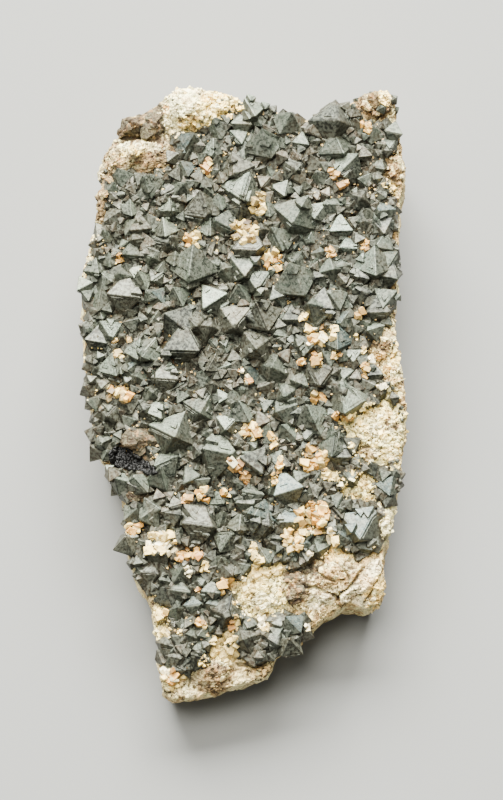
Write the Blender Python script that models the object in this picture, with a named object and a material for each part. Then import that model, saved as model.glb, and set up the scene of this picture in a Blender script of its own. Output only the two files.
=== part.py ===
"""Magnetite crystals on matrix: a wedge of pale rock carrying a crust of octahedra.

The slab lies on its flat sawn underside. X runs across it, Y along its length
and Z up. All lists below are in millimetres.
"""

import math
import random

import bmesh
import bpy
from mathutils import Vector

for old in list(bpy.data.objects):
    bpy.data.objects.remove(old, do_unlink=True)

MM = 0.001

# The top of the slab is a plane that rises towards the back.
MIDDLE_HEIGHT = 20.0
TOP_SLOPE = 0.15
# The crystal faces are listed as they look from this height above the front.
VIEW_TILT = math.radians(72.0)
FACE_STAND = 2.0
BED_GAP = 0.32
BED_THICKNESS = 1.35
CRYSTAL_LIFT = 0.10
EXTRA_LEAN = math.radians(7.0)
STEEPEST_FACE = math.radians(56.0)
WELD = 0.000001
SMALLEST_SOLID = 2.8
FRAME_SHIFT = (0.05, -0.6)

SIGHT = Vector((0.0, -math.cos(VIEW_TILT), math.sin(VIEW_TILT)))
SIGHT_UP = Vector((0.0, math.sin(VIEW_TILT), math.cos(VIEW_TILT)))
SIGHT_RIGHT = Vector((1.0, 0.0, 0.0))

# The rim of the slab, clockwise from the left end of the back edge.
SLAB_RIM = [
    (-29.2, 36.0), (-28.6, 41.0), (-28.8, 44.6), (-27.6, 47.8), (-25.2, 51.6),
    (-24.6, 54.0), (-22.2, 55.4), (-18.6, 57.0), (-16.2, 58.6), (-12.6, 60.6),
    (-9.8, 61.2), (-5.4, 60.8), (-2.2, 59.8), (0.4, 58.2), (4.4, 58.0),
    (8.4, 56.0), (12.6, 54.2), (15.6, 56.2), (19.4, 57.8), (22.6, 58.4),
    (25.2, 60.6), (29.0, 60.6), (31.0, 58.4), (31.2, 53.4), (32.2, 50.0),
    (32.8, 45.0), (33.0, 42.6), (31.8, 38.6), (31.8, 33.0), (31.2, 27.6),
    (31.4, 22.0), (30.8, 17.8), (30.8, 14.0), (31.2, 9.4), (32.2, 3.0),
    (33.0, -4.2), (32.4, -9.6), (31.8, -14.0), (31.6, -18.0), (30.8, -21.6),
    (30.0, -25.6), (28.4, -30.4), (28.2, -34.6), (28.4, -38.0), (27.6, -41.6),
    (25.6, -44.2), (21.0, -44.8), (17.0, -45.4), (13.6, -47.6), (11.2, -49.6),
    (8.0, -51.4), (6.0, -54.6), (4.8, -57.0), (0.4, -58.2), (-4.6, -59.6),
    (-9.0, -61.0), (-13.6, -61.2), (-16.0, -59.4), (-16.4, -54.0), (-17.0, -48.0),
    (-17.8, -43.0), (-20.2, -38.6), (-22.2, -34.6), (-22.8, -29.0), (-23.6, -23.0),
    (-25.6, -18.0), (-28.0, -13.8), (-29.6, -10.0), (-30.0, -4.4), (-31.2, 1.6),
    (-31.8, 7.6), (-31.8, 13.2), (-32.0, 19.6), (-32.2, 24.0), (-30.8, 28.4),
]
BELT_DROP = 2.6
# Rings down the broken sides: share of the height, narrowing across and along,
# and how rough the ring is. The lowest ring bounds the flat underside.
WALL_LEVELS = [
    (0.0, 0.90, 0.945, 0.7),
    (0.20, 0.945, 0.965, 0.9),
    (0.58, 0.975, 0.985, 1.0),
]

# Rough rock that stands up through or beside the crust:
# centre x, centre y, half width, half length, height, seed.
ROCK_KNOBS = [
    (-10.6, 56.4, 6.4, 4.8, 4.4, 1), (-4.4, 57.4, 4.0, 2.8, 3.2, 2),
    (-22.4, 53.2, 2.6, 2.0, 3.2, 3), (-18.2, 53.4, 2.6, 3.4, 3.4, 4),
    (-19.0, 47.4, 6.2, 3.6, 2.6, 5), (-24.8, 46.2, 3.2, 3.6, 2.2, 6),
    (-28.2, 37.6, 1.5, 4.6, 1.8, 7), (27.4, 58.0, 3.6, 2.7, 4.2, 8),
    (30.6, 44.4, 2.2, 3.0, 2.4, 9), (28.4, 8.8, 3.2, 3.6, 2.3, 10),
    (29.8, 3.2, 2.6, 3.8, 2.0, 11), (26.4, -8.6, 5.8, 6.8, 1.7, 12),
    (24.4, -19.6, 2.8, 2.2, 1.5, 13), (28.8, -26.4, 1.6, 3.4, 2.0, 14),
    (19.6, -38.6, 7.6, 6.0, 3.0, 15), (25.0, -38.4, 3.4, 5.6, 2.8, 16),
    (11.6, -40.2, 3.8, 4.2, 2.6, 17), (4.0, -39.8, 5.2, 4.8, 1.8, 18),
    (-5.6, -56.0, 4.2, 3.0, 1.8, 19), (-20.6, -10.6, 4.0, 3.2, 3.2, 20),
    (-15.9, -30.4, 2.8, 2.1, 2.4, 21), (-30.4, 5.6, 1.8, 1.4, 2.0, 22),
    (-24.4, -0.6, 2.4, 1.5, 2.2, 23), (-14.4, -57.0, 2.0, 1.6, 1.5, 24),
    (-20.6, -21.0, 2.8, 1.6, 2.4, 25), (-16.2, -45.2, 1.4, 1.6, 1.8, 26),
]

# Outlines of the thin crystal beds, as seen along the sight line.
MAIN_BED = [
    (-27.0, 43.0), (-20.0, 43.2), (-14.4, 44.4), (-13.4, 51.2), (-8.0, 52.8),
    (-3.0, 55.0), (0.6, 57.2), (4.4, 57.4), (9.4, 54.8), (12.6, 53.2),
    (15.2, 55.4), (19.0, 57.0), (23.2, 56.2), (25.2, 54.0), (30.2, 53.6),
    (31.0, 51.4), (30.4, 48.2), (28.4, 47.0), (27.8, 42.4), (30.2, 39.6),
    (30.2, 34.0), (30.2, 28.0), (30.6, 22.8), (30.0, 19.8), (29.6, 15.0),
    (28.4, 12.6), (25.2, 11.6), (24.2, 7.0), (24.6, 4.4), (28.2, 3.4),
    (28.4, 0.0), (25.2, -2.4), (21.0, -5.2), (18.6, -5.4), (18.4, -7.6),
    (21.0, -9.4), (22.2, -13.0), (23.4, -15.4), (23.0, -17.8), (20.2, -18.4),
    (16.6, -19.6), (20.6, -21.6), (26.2, -22.6), (26.8, -26.0), (27.2, -30.4),
    (26.0, -32.8), (22.6, -32.8), (21.6, -30.8), (18.8, -29.8), (17.8, -26.8),
    (14.2, -26.4), (13.4, -23.6), (12.4, -22.4), (12.2, -26.2), (9.2, -27.2),
    (8.0, -30.4), (7.0, -33.6), (5.4, -34.6), (3.0, -31.4), (1.2, -30.4),
    (0.4, -31.6), (2.0, -33.6), (2.0, -36.2), (-1.8, -36.6), (-6.0, -36.6),
    (-4.6, -37.6), (-3.8, -40.8), (-1.8, -41.6), (-2.2, -44.4), (-3.6, -48.0),
    (-6.0, -49.4), (-7.0, -52.0), (-9.2, -52.4), (-9.6, -56.0), (-12.6, -56.0),
    (-15.2, -54.4), (-15.6, -50.2), (-13.6, -47.4), (-14.2, -43.8), (-17.0, -41.8),
    (-17.8, -39.8), (-20.8, -36.6), (-21.8, -33.0), (-22.2, -29.4), (-23.0, -25.8),
    (-23.0, -22.0), (-24.6, -18.4), (-26.2, -16.2), (-27.4, -13.6), (-28.8, -11.4),
    (-29.0, -8.0), (-29.0, -4.4), (-30.0, -2.6), (-30.4, 1.0), (-30.6, 7.0),
    (-30.6, 12.4), (-30.8, 17.6), (-31.4, 22.8), (-30.8, 25.4), (-29.4, 27.8),
    (-28.6, 31.0), (-27.4, 34.0), (-27.0, 38.0),
]
MIDDLE_BED = [
    (9.6, -29.0), (11.6, -28.0), (16.2, -29.2), (15.8, -31.4), (12.2, -33.0),
    (11.6, -35.2), (9.4, -35.0), (8.8, -31.8),
]
FRONT_BED = [
    (-1.8, -48.8), (0.2, -46.8), (3.0, -46.6), (5.2, -47.2), (8.4, -45.2),
    (12.0, -44.6), (12.2, -47.4), (9.0, -51.0), (7.0, -52.8), (4.2, -52.8),
    (1.6, -53.2), (-0.8, -51.8),
]
RIM_BED = [
    (26.8, -17.8), (28.8, -16.2), (31.0, -16.6), (31.0, -19.8), (28.8, -21.6),
    (26.8, -20.2),
]
BEDS = [MAIN_BED, MIDDLE_BED, FRONT_BED, RIM_BED]

# One face of each octahedron, by its three corners. The letter says which way
# the face leans: up the slab, down it, to the left or to the right.
BACK_FACES = [
    (0.4, 59.2, 5.2, 58.0, 2.7, 55.0, "U"), (0.3, 57.0, -2.5, 53.8, 2.0, 53.5, "U"),
    (10.0, 56.0, 5.8, 56.0, 7.5, 51.5, "U"), (4.0, 52.6, 8.8, 51.0, 6.0, 46.4, "U"),
    (-2.6, 52.5, 1.5, 53.0, 0.0, 49.4, "U"), (2.2, 52.8, 1.1, 50.0, 3.7, 50.0, "U"),
    (-6.0, 54.6, -7.6, 51.3, -4.4, 50.4, "D"), (-5.8, 51.0, -8.8, 48.3, -5.7, 46.8, "U"),
    (-2.0, 48.3, -4.8, 43.8, -1.6, 43.2, "L"), (1.6, 44.2, -4.6, 41.6, -0.2, 38.0, "U"),
    (5.0, 45.2, 7.6, 44.6, 6.0, 42.6, "U"), (8.0, 46.5, 11.2, 44.5, 8.4, 41.8, "D"),
    (12.3, 52.6, 10.0, 50.0, 13.6, 49.4, "U"), (18.2, 48.3, 23.4, 47.6, 19.2, 43.2, "U"),
    (19.5, 43.3, 23.8, 45.9, 23.2, 41.0, "R"), (18.3, 52.6, 22.9, 49.8, 20.6, 47.6, "U"),
    (18.7, 59.0, 13.0, 54.4, 20.0, 54.2, "L"), (26.2, 53.5, 26.0, 49.5, 29.2, 51.5, "R"),
    (28.2, 50.9, 31.4, 50.9, 29.8, 48.6, "U"), (24.0, 51.2, 23.0, 49.6, 25.1, 49.4, "U"),
    (31.2, 54.6, 28.6, 52.4, 32.4, 51.6, "R"), (-13.6, 52.0, -9.6, 51.6, -12.0, 47.8, "U"),
    (-12.4, 46.4, -9.0, 45.8, -10.8, 42.9, "U"), (-20.0, 43.2, -15.3, 42.5, -18.2, 38.4, "U"),
]
UPPER_LEFT_FACES = [
    (-16.0, 35.0, -12.0, 32.6, -15.4, 30.6, "U"), (-18.0, 36.2, -14.6, 39.3, -14.4, 35.8, "U"),
    (-14.2, 37.4, -11.8, 36.6, -13.4, 33.8, "U"), (-22.6, 38.6, -20.0, 36.2, -22.2, 34.8, "U"),
    (-28.0, 33.8, -27.2, 37.0, -24.3, 36.2, "U"), (-24.1, 34.6, -21.4, 34.2, -23.6, 31.0, "U"),
    (-21.0, 34.0, -19.4, 35.5, -18.2, 32.4, "U"), (-17.2, 33.8, -18.2, 31.8, -16.2, 31.6, "U"),
    (-22.6, 32.2, -18.0, 32.6, -20.6, 29.6, "D"), (-22.0, 30.4, -18.4, 30.6, -20.8, 27.0, "D"),
    (-18.6, 30.4, -14.8, 29.8, -16.8, 25.9, "D"), (-14.4, 31.0, -11.3, 30.4, -13.6, 27.2, "D"),
    (-24.8, 30.8, -22.8, 29.8, -24.8, 28.3, "U"), (-26.9, 27.8, -24.2, 26.2, -26.5, 24.5, "U"),
    (-24.2, 27.4, -20.2, 27.0, -22.6, 24.9, "D"), (-20.3, 27.7, -18.0, 26.6, -19.2, 24.0, "D"),
    (-18.1, 25.2, -15.6, 26.2, -17.2, 23.8, "U"), (-23.4, 25.1, -20.0, 25.1, -21.6, 22.4, "U"),
    (-20.8, 23.8, -17.6, 23.4, -19.0, 19.9, "U"), (-32.8, 23.2, -33.2, 19.9, -29.9, 21.6, "U"),
    (-32.2, 24.0, -28.8, 23.4, -29.6, 21.4, "D"), (-28.8, 24.0, -24.8, 23.6, -26.0, 21.9, "U"),
    (-24.8, 23.6, -20.8, 22.6, -24.0, 19.4, "D"), (-18.2, 22.0, -15.6, 23.8, -15.9, 20.4, "D"),
    (-15.7, 25.4, -9.8, 29.3, -10.8, 21.2, "U"), (-8.3, 40.4, -4.8, 37.4, -6.0, 34.6, "U"),
    (-5.0, 39.7, -2.0, 38.2, -3.9, 36.0, "U"), (-9.6, 32.4, -6.4, 34.9, -6.3, 30.8, "U"),
    (-5.9, 34.5, -1.2, 32.0, -5.5, 29.9, "D"), (-4.0, 36.2, -0.3, 37.2, -0.8, 32.4, "D"),
    (-2.2, 28.4, 4.9, 28.0, 1.4, 23.0, "D"), (-2.8, 27.2, 0.4, 22.6, -2.6, 21.0, "D"),
    (-4.1, 27.5, -7.0, 26.0, -4.8, 24.9, "U"), (-4.0, 24.4, -5.7, 22.4, -1.8, 21.1, "D"),
    (-8.2, 21.6, -2.8, 19.4, -7.9, 16.0, "U"), (-28.3, 20.4, -31.0, 18.2, -28.9, 15.7, "U"),
    (-28.9, 17.0, -26.4, 15.7, -27.9, 14.0, "U"), (-27.2, 19.4, -20.2, 18.6, -24.2, 13.6, "D"),
    (-18.2, 19.6, -15.3, 20.9, -15.4, 17.0, "U"), (-13.8, 20.6, -9.9, 20.4, -11.8, 16.6, "U"),
    (-20.4, 16.7, -17.5, 17.5, -18.8, 15.2, "U"), (-18.9, 15.4, -16.8, 16.1, -18.4, 13.4, "U"),
    (-25.9, 15.9, -23.7, 14.9, -26.5, 13.6, "U"), (-28.5, 13.9, -23.9, 13.7, -26.0, 9.8, "U"),
    (-29.3, 14.4, -31.1, 11.9, -28.4, 11.0, "U"),
]
UPPER_RIGHT_FACES = [
    (6.0, 37.5, 13.4, 39.4, 10.0, 33.0, "U"), (5.9, 32.7, 10.9, 32.2, 8.3, 27.7, "U"),
    (0.7, 31.3, 4.4, 32.6, 4.2, 28.6, "D"), (9.5, 25.5, 15.4, 24.2, 12.8, 18.6, "U"),
    (8.2, 27.7, 12.4, 28.2, 10.0, 25.6, "U"), (0.2, 24.2, 5.8, 24.0, 3.0, 19.6, "U"),
    (-0.4, 21.3, 1.8, 20.6, 1.7, 17.2, "U"), (1.8, 21.0, 5.0, 20.4, 2.6, 17.2, "U"),
    (12.8, 37.6, 17.1, 37.9, 14.4, 34.2, "U"), (17.8, 40.0, 16.2, 37.3, 20.4, 37.3, "U"),
    (24.0, 39.0, 22.0, 35.2, 26.8, 36.3, "D"), (28.0, 38.8, 26.9, 35.9, 31.1, 36.4, "U"),
    (19.7, 36.0, 17.4, 31.8, 22.4, 32.0, "U"), (16.0, 34.4, 18.2, 34.6, 17.0, 32.4, "U"),
    (15.9, 32.4, 18.2, 32.0, 16.6, 30.6, "D"), (22.0, 33.0, 24.6, 34.2, 24.8, 30.6, "D"),
    (26.0, 34.4, 28.6, 31.4, 26.2, 30.4, "D"), (26.4, 34.9, 29.8, 34.6, 28.8, 31.6, "U"),
    (21.2, 31.6, 19.4, 28.4, 23.3, 28.4, "U"), (26.6, 29.2, 21.9, 25.0, 26.8, 22.6, "U"),
    (26.9, 27.9, 31.4, 27.8, 29.0, 23.9, "U"), (29.0, 32.2, 26.7, 28.6, 31.0, 28.1, "U"),
    (15.4, 29.5, 13.5, 27.4, 16.5, 28.0, "U"), (17.5, 27.5, 18.3, 24.2, 14.6, 23.4, "U"),
    (18.7, 27.3, 22.0, 25.3, 18.5, 24.3, "U"), (17.6, 23.0, 14.2, 22.6, 15.6, 19.8, "D"),
    (21.5, 23.2, 25.6, 22.4, 23.6, 19.8, "D"), (26.8, 23.2, 31.4, 22.4, 29.2, 19.8, "D"),
    (11.0, 32.0, 13.3, 31.9, 12.4, 29.9, "U"), (14.4, 32.8, 16.1, 29.4, 13.0, 29.6, "U"),
    (13.2, 26.6, 15.2, 26.4, 13.4, 24.2, "U"), (15.4, 20.4, 13.2, 17.2, 18.9, 16.2, "U"),
    (17.1, 20.0, 21.6, 20.2, 19.8, 15.9, "U"), (22.0, 20.2, 26.2, 19.6, 23.6, 16.4, "D"),
    (26.4, 20.6, 31.2, 20.0, 28.2, 16.2, "U"), (25.0, 15.6, 30.0, 15.7, 27.4, 12.6, "D"),
    (25.4, 14.2, 28.7, 13.1, 25.0, 12.0, "U"), (18.2, 15.6, 21.6, 16.0, 19.2, 12.7, "U"),
    (12.8, 16.8, 18.4, 16.4, 16.0, 12.6, "D"), (10.7, 11.2, 15.5, 10.2, 12.3, 6.6, "U"),
    (19.1, 13.2, 22.9, 10.0, 19.1, 7.8, "U"), (20.6, 8.2, 24.2, 8.2, 22.2, 5.4, "U"),
    (23.4, 14.2, 25.6, 13.6, 24.2, 11.4, "D"), (16.0, 10.4, 18.8, 9.6, 16.6, 7.6, "D"),
    (25.0, 3.0, 28.4, 3.2, 26.6, 0.6, "D"), (19.0, 4.9, 22.8, 4.3, 20.2, 1.9, "U"),
    (13.0, 5.6, 18.6, 5.0, 15.6, 0.6, "U"), (17.5, 1.8, 19.7, -0.6, 17.9, -4.0, "D"),
    (12.3, 4.3, 9.6, 2.0, 13.4, 0.6, "U"),
]
MIDDLE_FACES = [
    (-24.2, 8.0, -20.4, 10.5, -20.9, 5.9, "U"), (-17.2, 10.8, -20.3, 6.8, -16.0, 5.4, "U"),
    (-20.2, 11.6, -18.2, 11.2, -18.6, 9.6, "U"), (-26.0, 7.6, -29.5, 4.0, -25.0, 2.6, "U"),
    (-29.7, 2.9, -25.6, 2.6, -28.1, 0.1, "U"), (-23.8, 6.0, -20.6, 5.8, -22.9, 3.9, "U"),
    (-22.8, 3.9, -20.6, 4.3, -21.4, 1.5, "U"), (-19.9, 4.7, -21.0, 2.9, -18.4, 1.1, "U"),
    (-15.0, 6.4, -13.4, 4.6, -17.7, 3.7, "U"), (-13.6, 5.0, -11.4, 4.1, -13.0, 3.2, "U"),
    (-15.9, 8.1, -8.4, 8.0, -11.4, 3.8, "D"), (-15.6, 15.5, -10.1, 11.2, -15.9, 9.2, "D"),
    (-18.3, 2.6, -12.6, 2.2, -15.6, -2.0, "D"), (-31.6, 10.2, -27.0, 9.4, -29.9, 6.5, "D"),
    (-20.2, 1.0, -17.8, -0.6, -19.9, -3.3, "U"), (-24.2, -0.9, -20.0, -0.9, -22.0, -5.0, "U"),
    (-4.8, 17.2, 1.9, 16.8, -1.6, 12.2, "U"), (2.8, 17.6, 8.4, 16.6, 5.4, 11.6, "U"),
    (0.0, 12.3, 6.6, 11.2, 2.9, 7.9, "U"), (0.4, 14.7, 4.7, 12.0, 1.2, 12.0, "D"),
    (-12.2, 16.0, -6.4, 15.6, -9.0, 12.6, "U"), (-11.0, 13.0, -6.0, 13.0, -7.8, 8.2, "D"),
    (-4.1, 10.2, -1.2, 9.6, -2.9, 7.3, "U"), (-0.7, 8.4, 2.6, 8.5, 1.2, 5.9, "U"),
    (-8.1, 6.0, -5.2, 7.4, -7.2, 3.8, "U"), (-4.2, 6.8, -5.4, 3.9, -2.1, 5.1, "U"),
    (0.7, 4.3, 3.9, 5.0, 2.8, 1.0, "U"), (7.4, 7.6, 6.0, 4.8, 10.1, 2.5, "U"),
    (4.2, 5.8, 6.4, 5.9, 6.2, 3.5, "D"), (-9.8, 3.2, -8.2, 3.9, -8.8, 1.2, "U"),
    (-8.3, 2.2, -6.9, 2.7, -7.9, 0.5, "U"), (-2.1, 0.1, 0.1, 1.7, 0.7, 0.2, "U"),
    (-5.0, 0.4, -2.0, -1.0, -4.6, -2.7, "U"), (-2.1, 0.3, 0.6, -0.6, -0.6, -3.0, "U"),
    (-0.6, -2.0, 2.7, -3.4, 1.7, -6.5, "U"), (0.2, -0.1, 1.9, 0.0, 1.1, -1.5, "U"),
    (9.3, 18.1, 11.4, 17.6, 10.0, 15.5, "U"), (11.4, 17.2, 13.4, 17.2, 12.2, 15.5, "U"),
    (7.9, 14.2, 12.0, 14.2, 10.0, 11.6, "D"), (7.0, 1.8, 11.6, 0.8, 8.6, -1.6, "U"),
    (19.6, 2.0, 26.0, -1.2, 20.4, -5.0, "U"), (-16.2, -1.4, -20.2, -4.0, -16.0, -5.9, "U"),
    (-15.4, -1.6, -13.5, -3.4, -15.8, -3.9, "U"), (-11.3, -3.8, -18.8, -6.6, -13.4, -9.8, "U"),
    (-24.7, -2.6, -27.2, -5.5, -23.9, -7.0, "U"), (-21.8, -5.8, -19.6, -4.0, -17.6, -6.6, "D"),
    (-28.3, -12.0, -26.9, -12.0, -28.0, -14.3, "U"), (-27.4, -14.8, -25.5, -15.0, -26.8, -16.3, "U"),
    (-23.6, -16.0, -25.1, -17.5, -21.4, -18.6, "U"), (-21.9, -17.0, -18.2, -16.4, -18.6, -20.6, "U"),
    (-18.1, -16.7, -16.5, -16.7, -17.3, -18.7, "U"), (-16.3, -15.4, -13.4, -16.2, -15.0, -20.2, "U"),
    (-16.7, -11.8, -12.6, -13.0, -17.6, -15.1, "U"), (-13.1, -10.2, -10.1, -12.0, -12.2, -13.7, "U"),
    (-6.4, -0.9, -8.2, -4.6, -5.2, -6.6, "U"), (-4.1, -2.1, -1.6, -2.6, -2.4, -5.6, "D"),
    (-5.4, -4.9, -0.7, -5.0, -3.4, -8.2, "U"), (-4.2, -7.6, -7.9, -11.8, -0.5, -13.2, "U"),
    (0.0, -12.2, 4.2, -12.0, 3.6, -15.8, "U"), (4.7, -12.9, 8.0, -11.9, 6.9, -15.2, "U"),
    (6.6, -1.2, 11.3, -2.7, 6.6, -4.4, "U"), (4.4, -4.4, 6.4, -2.0, 6.7, -4.8, "D"),
    (7.9, -7.0, 10.6, -6.2, 11.0, -9.9, "U"), (2.0, -17.8, 4.6, -20.9, 0.0, -20.3, "U"),
    (4.4, -18.0, 6.6, -18.0, 5.2, -21.3, "U"), (7.8, -15.4, 12.4, -19.3, 6.2, -21.2, "U"),
    (-11.4, -14.8, -8.0, -17.1, -11.8, -18.9, "U"), (-8.0, -12.4, -10.6, -14.8, -6.0, -14.9, "D"),
    (-4.0, -15.8, -1.0, -16.2, -2.8, -18.4, "D"), (-5.0, -19.6, -6.9, -22.8, -3.5, -22.8, "U"),
    (-10.5, -12.4, -8.7, -12.4, -9.6, -14.1, "U"), (-11.1, -9.0, -9.4, -9.4, -9.8, -12.3, "U"),
    (-0.6, -13.2, 4.2, -16.6, 0.2, -18.2, "D"), (12.8, -3.0, 17.6, -3.4, 15.3, -8.2, "U"),
    (11.0, -3.0, 12.6, -3.0, 11.8, -4.5, "U"), (14.4, -10.8, 18.6, -8.0, 17.8, -13.6, "U"),
    (20.2, -9.4, 22.4, -12.6, 19.4, -12.8, "D"), (17.0, -13.2, 22.0, -13.4, 19.2, -16.6, "D"),
    (20.1, -15.9, 23.5, -16.0, 22.0, -18.2, "U"), (10.0, -15.6, 13.7, -16.6, 10.8, -18.4, "U"),
    (13.2, -18.2, 16.6, -19.0, 14.4, -21.5, "U"), (17.0, -21.0, 20.2, -20.6, 18.8, -23.6, "U"),
]
FRONT_FACES = [
    (-23.6, -22.7, -20.9, -23.7, -23.6, -26.1, "U"), (-20.4, -22.4, -16.7, -23.0, -20.6, -25.9, "U"),
    (-20.0, -25.9, -16.0, -24.0, -16.4, -26.2, "D"), (-18.8, -25.9, -16.2, -26.0, -17.3, -28.0, "U"),
    (-23.2, -29.2, -20.0, -29.6, -21.8, -33.2, "U"), (-16.2, -24.2, -11.9, -24.6, -14.2, -28.3, "D"),
    (-20.2, -33.4, -16.4, -32.2, -16.0, -36.0, "D"), (-20.4, -36.2, -16.4, -36.4, -18.4, -39.6, "D"),
    (-14.7, -35.3, -11.8, -35.4, -13.7, -38.7, "U"), (-12.2, -37.0, -14.3, -39.8, -10.0, -40.3, "U"),
    (-15.5, -38.9, -17.8, -42.2, -13.8, -43.2, "D"), (-14.0, -41.0, -11.4, -41.2, -12.6, -43.4, "U"),
    (-12.2, -26.4, -5.6, -27.0, -8.8, -32.2, "D"), (-11.9, -22.6, -7.0, -22.8, -9.0, -26.4, "U"),
    (-6.1, -24.8, -3.6, -24.2, -4.6, -27.5, "U"), (-3.9, -26.9, -0.2, -24.0, -0.6, -28.4, "U"),
    (-3.6, -21.6, -1.4, -21.8, -2.5, -24.0, "U"), (-6.1, -28.2, -1.6, -28.2, -4.4, -32.4, "U"),
    (-3.9, -30.4, -1.4, -30.4, -2.6, -32.5, "U"), (0.2, -25.6, 5.6, -26.8, 2.6, -31.2, "D"),
    (-1.4, -22.4, 3.0, -22.6, 0.8, -25.8, "D"), (2.4, -25.1, 4.6, -21.2, 7.2, -26.2, "U"),
    (6.9, -26.4, 9.0, -22.6, 12.0, -26.3, "U"), (6.2, -27.2, 8.1, -28.4, 6.3, -29.3, "U"),
    (3.4, -31.1, 7.2, -31.9, 5.5, -34.6, "U"), (5.0, -29.4, 8.2, -29.6, 6.6, -31.6, "D"),
    (10.0, -31.0, 10.8, -28.2, 14.1, -30.2, "U"), (9.0, -31.0, 12.0, -31.6, 10.8, -34.2, "U"),
    (-4.1, -33.2, -1.8, -33.2, -2.0, -36.4, "U"), (0.0, -32.0, 2.2, -33.6, 1.4, -36.2, "D"),
    (-8.2, -40.0, -6.0, -37.2, -4.0, -40.4, "U"), (-9.6, -37.0, -6.6, -36.8, -8.0, -39.0, "U"),
    (-11.7, -42.8, -10.0, -40.3, -7.9, -42.4, "U"), (-7.2, -42.4, -5.2, -40.4, -3.6, -43.2, "U"),
    (14.2, -24.1, 17.7, -23.6, 17.0, -26.9, "U"), (17.8, -23.2, 20.2, -23.6, 18.8, -26.0, "D"),
    (19.4, -24.4, 26.8, -23.6, 23.4, -30.0, "U"), (24.5, -29.2, 27.0, -27.8, 27.4, -31.0, "U"),
    (19.0, -27.9, 21.0, -27.9, 22.1, -30.1, "U"), (14.2, -29.2, 16.4, -29.2, 15.2, -31.4, "U"),
    (22.8, -31.4, 26.0, -31.8, 24.4, -33.6, "D"), (-13.1, -45.8, -10.9, -45.6, -12.0, -47.5, "U"),
    (-14.4, -47.9, -16.2, -50.3, -12.8, -51.1, "U"), (-15.4, -52.6, -12.0, -53.0, -13.8, -56.0, "D"),
    (-11.1, -48.4, -9.4, -46.8, -8.6, -49.4, "U"), (-7.0, -46.3, -8.8, -48.8, -5.9, -49.5, "U"),
    (-9.9, -51.4, -7.9, -49.4, -7.1, -52.1, "U"), (-7.0, -43.2, -3.2, -44.8, -4.0, -48.2, "D"),
    (-8.9, -43.2, -7.2, -42.8, -7.4, -44.8, "U"), (-11.3, -52.2, -9.0, -52.6, -9.6, -55.9, "D"),
    (-2.1, -49.2, -0.3, -49.2, -0.5, -51.6, "U"), (0.2, -49.0, 4.2, -48.4, 2.2, -53.3, "D"),
    (0.0, -47.8, 3.1, -46.4, 2.4, -48.8, "D"), (5.3, -47.0, 8.4, -46.6, 6.9, -49.4, "U"),
    (4.0, -48.8, 7.0, -50.2, 5.2, -52.8, "D"), (6.5, -49.4, 9.4, -49.2, 7.6, -53.4, "U"),
    (8.6, -44.9, 12.4, -44.4, 11.8, -48.2, "U"), (26.4, -18.6, 30.2, -17.0, 29.4, -21.2, "U"),
    (23.9, -16.2, 25.8, -14.4, 26.4, -17.4, "L"), (29.5, -1.6, 31.7, -1.4, 30.6, -3.4, "D"),
]
LISTED_FACES = BACK_FACES + UPPER_LEFT_FACES + UPPER_RIGHT_FACES + MIDDLE_FACES + FRONT_FACES

LEAN = {
    "U": Vector((0.0, 1.0)),
    "D": Vector((0.0, -1.0)),
    "L": Vector((-1.0, 0.0)),
    "R": Vector((1.0, 0.0)),
}


def top_height(y):
    """Height of the slab's sloping top at a place along its length."""
    return MIDDLE_HEIGHT + TOP_SLOPE * y


def seen_point(x, y_seen, stand):
    """Point that stands this high over the slab top and looks to be at x, y_seen."""
    rise = math.sin(VIEW_TILT) + TOP_SLOPE * math.cos(VIEW_TILT)
    y = (y_seen - (stand - FACE_STAND) * math.cos(VIEW_TILT)) / rise
    return Vector((x, y, top_height(y) + stand))


def octahedron_from_face(face):
    """Six corners of the octahedron whose one face looks like the given triangle."""
    seen = [Vector((face[i], face[i + 1])) for i in (0, 2, 4)]
    lean = LEAN[face[6]]
    side_a = (seen[0] - seen[1]).length_squared
    side_b = (seen[1] - seen[2]).length_squared
    side_c = (seen[2] - seen[0]).length_squared
    total = side_a + side_b + side_c
    cross = (seen[1] - seen[0]).cross(seen[2] - seen[0])
    square = (total + math.sqrt(max(total * total - 12.0 * cross * cross, 0.0))) / 3.0
    step_a = math.sqrt(max(square - side_a, 0.0))
    step_b = math.sqrt(max(square - side_b, 0.0))
    if side_a + side_b - side_c < square:
        step_b = -step_b
    depths = [0.0, -step_a, -step_a - step_b]
    points = [Vector((p.x, p.y, d)) for p, d in zip(seen, depths)]
    normal = (points[1] - points[0]).cross(points[2] - points[0]).normalized()
    if normal.z < 0.0:
        normal.negate()
    if normal.xy.dot(lean) < 0.0:
        normal = Vector((-normal.x, -normal.y, normal.z))
        points = [Vector((p.x, p.y, -p.z)) for p in points]
    middle = sum(points, Vector()) / 3.0
    spoke = points[0] - middle
    axis = Vector((0.0, 0.0, 1.0)).cross(Vector((lean.x, lean.y, 0.0)))
    tilt = normal.angle(Vector((0.0, 0.0, 1.0)))
    turn = min(EXTRA_LEAN, STEEPEST_FACE - tilt)
    if turn < 0.0:
        axis = Vector((0.0, 0.0, 1.0)).cross(normal).normalized()
    normal = rotated(normal, axis, turn)
    spoke = rotated(spoke, axis, turn)
    spoke = (spoke - normal * spoke.dot(normal)).normalized()
    edge = math.sqrt(square)
    return place_octahedron(seen, normal, spoke, edge)


def rotated(vector, axis, angle):
    """The vector turned about an axis by the right-hand rule."""
    axis = axis.normalized()
    part = vector * math.cos(angle) + axis.cross(vector) * math.sin(angle)
    return part + axis * axis.dot(vector) * (1.0 - math.cos(angle))


def to_frame(vector):
    """Turn a direction measured along the sight line into the part's frame."""
    return SIGHT_RIGHT * vector.x + SIGHT_UP * vector.y + SIGHT * vector.z


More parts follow.
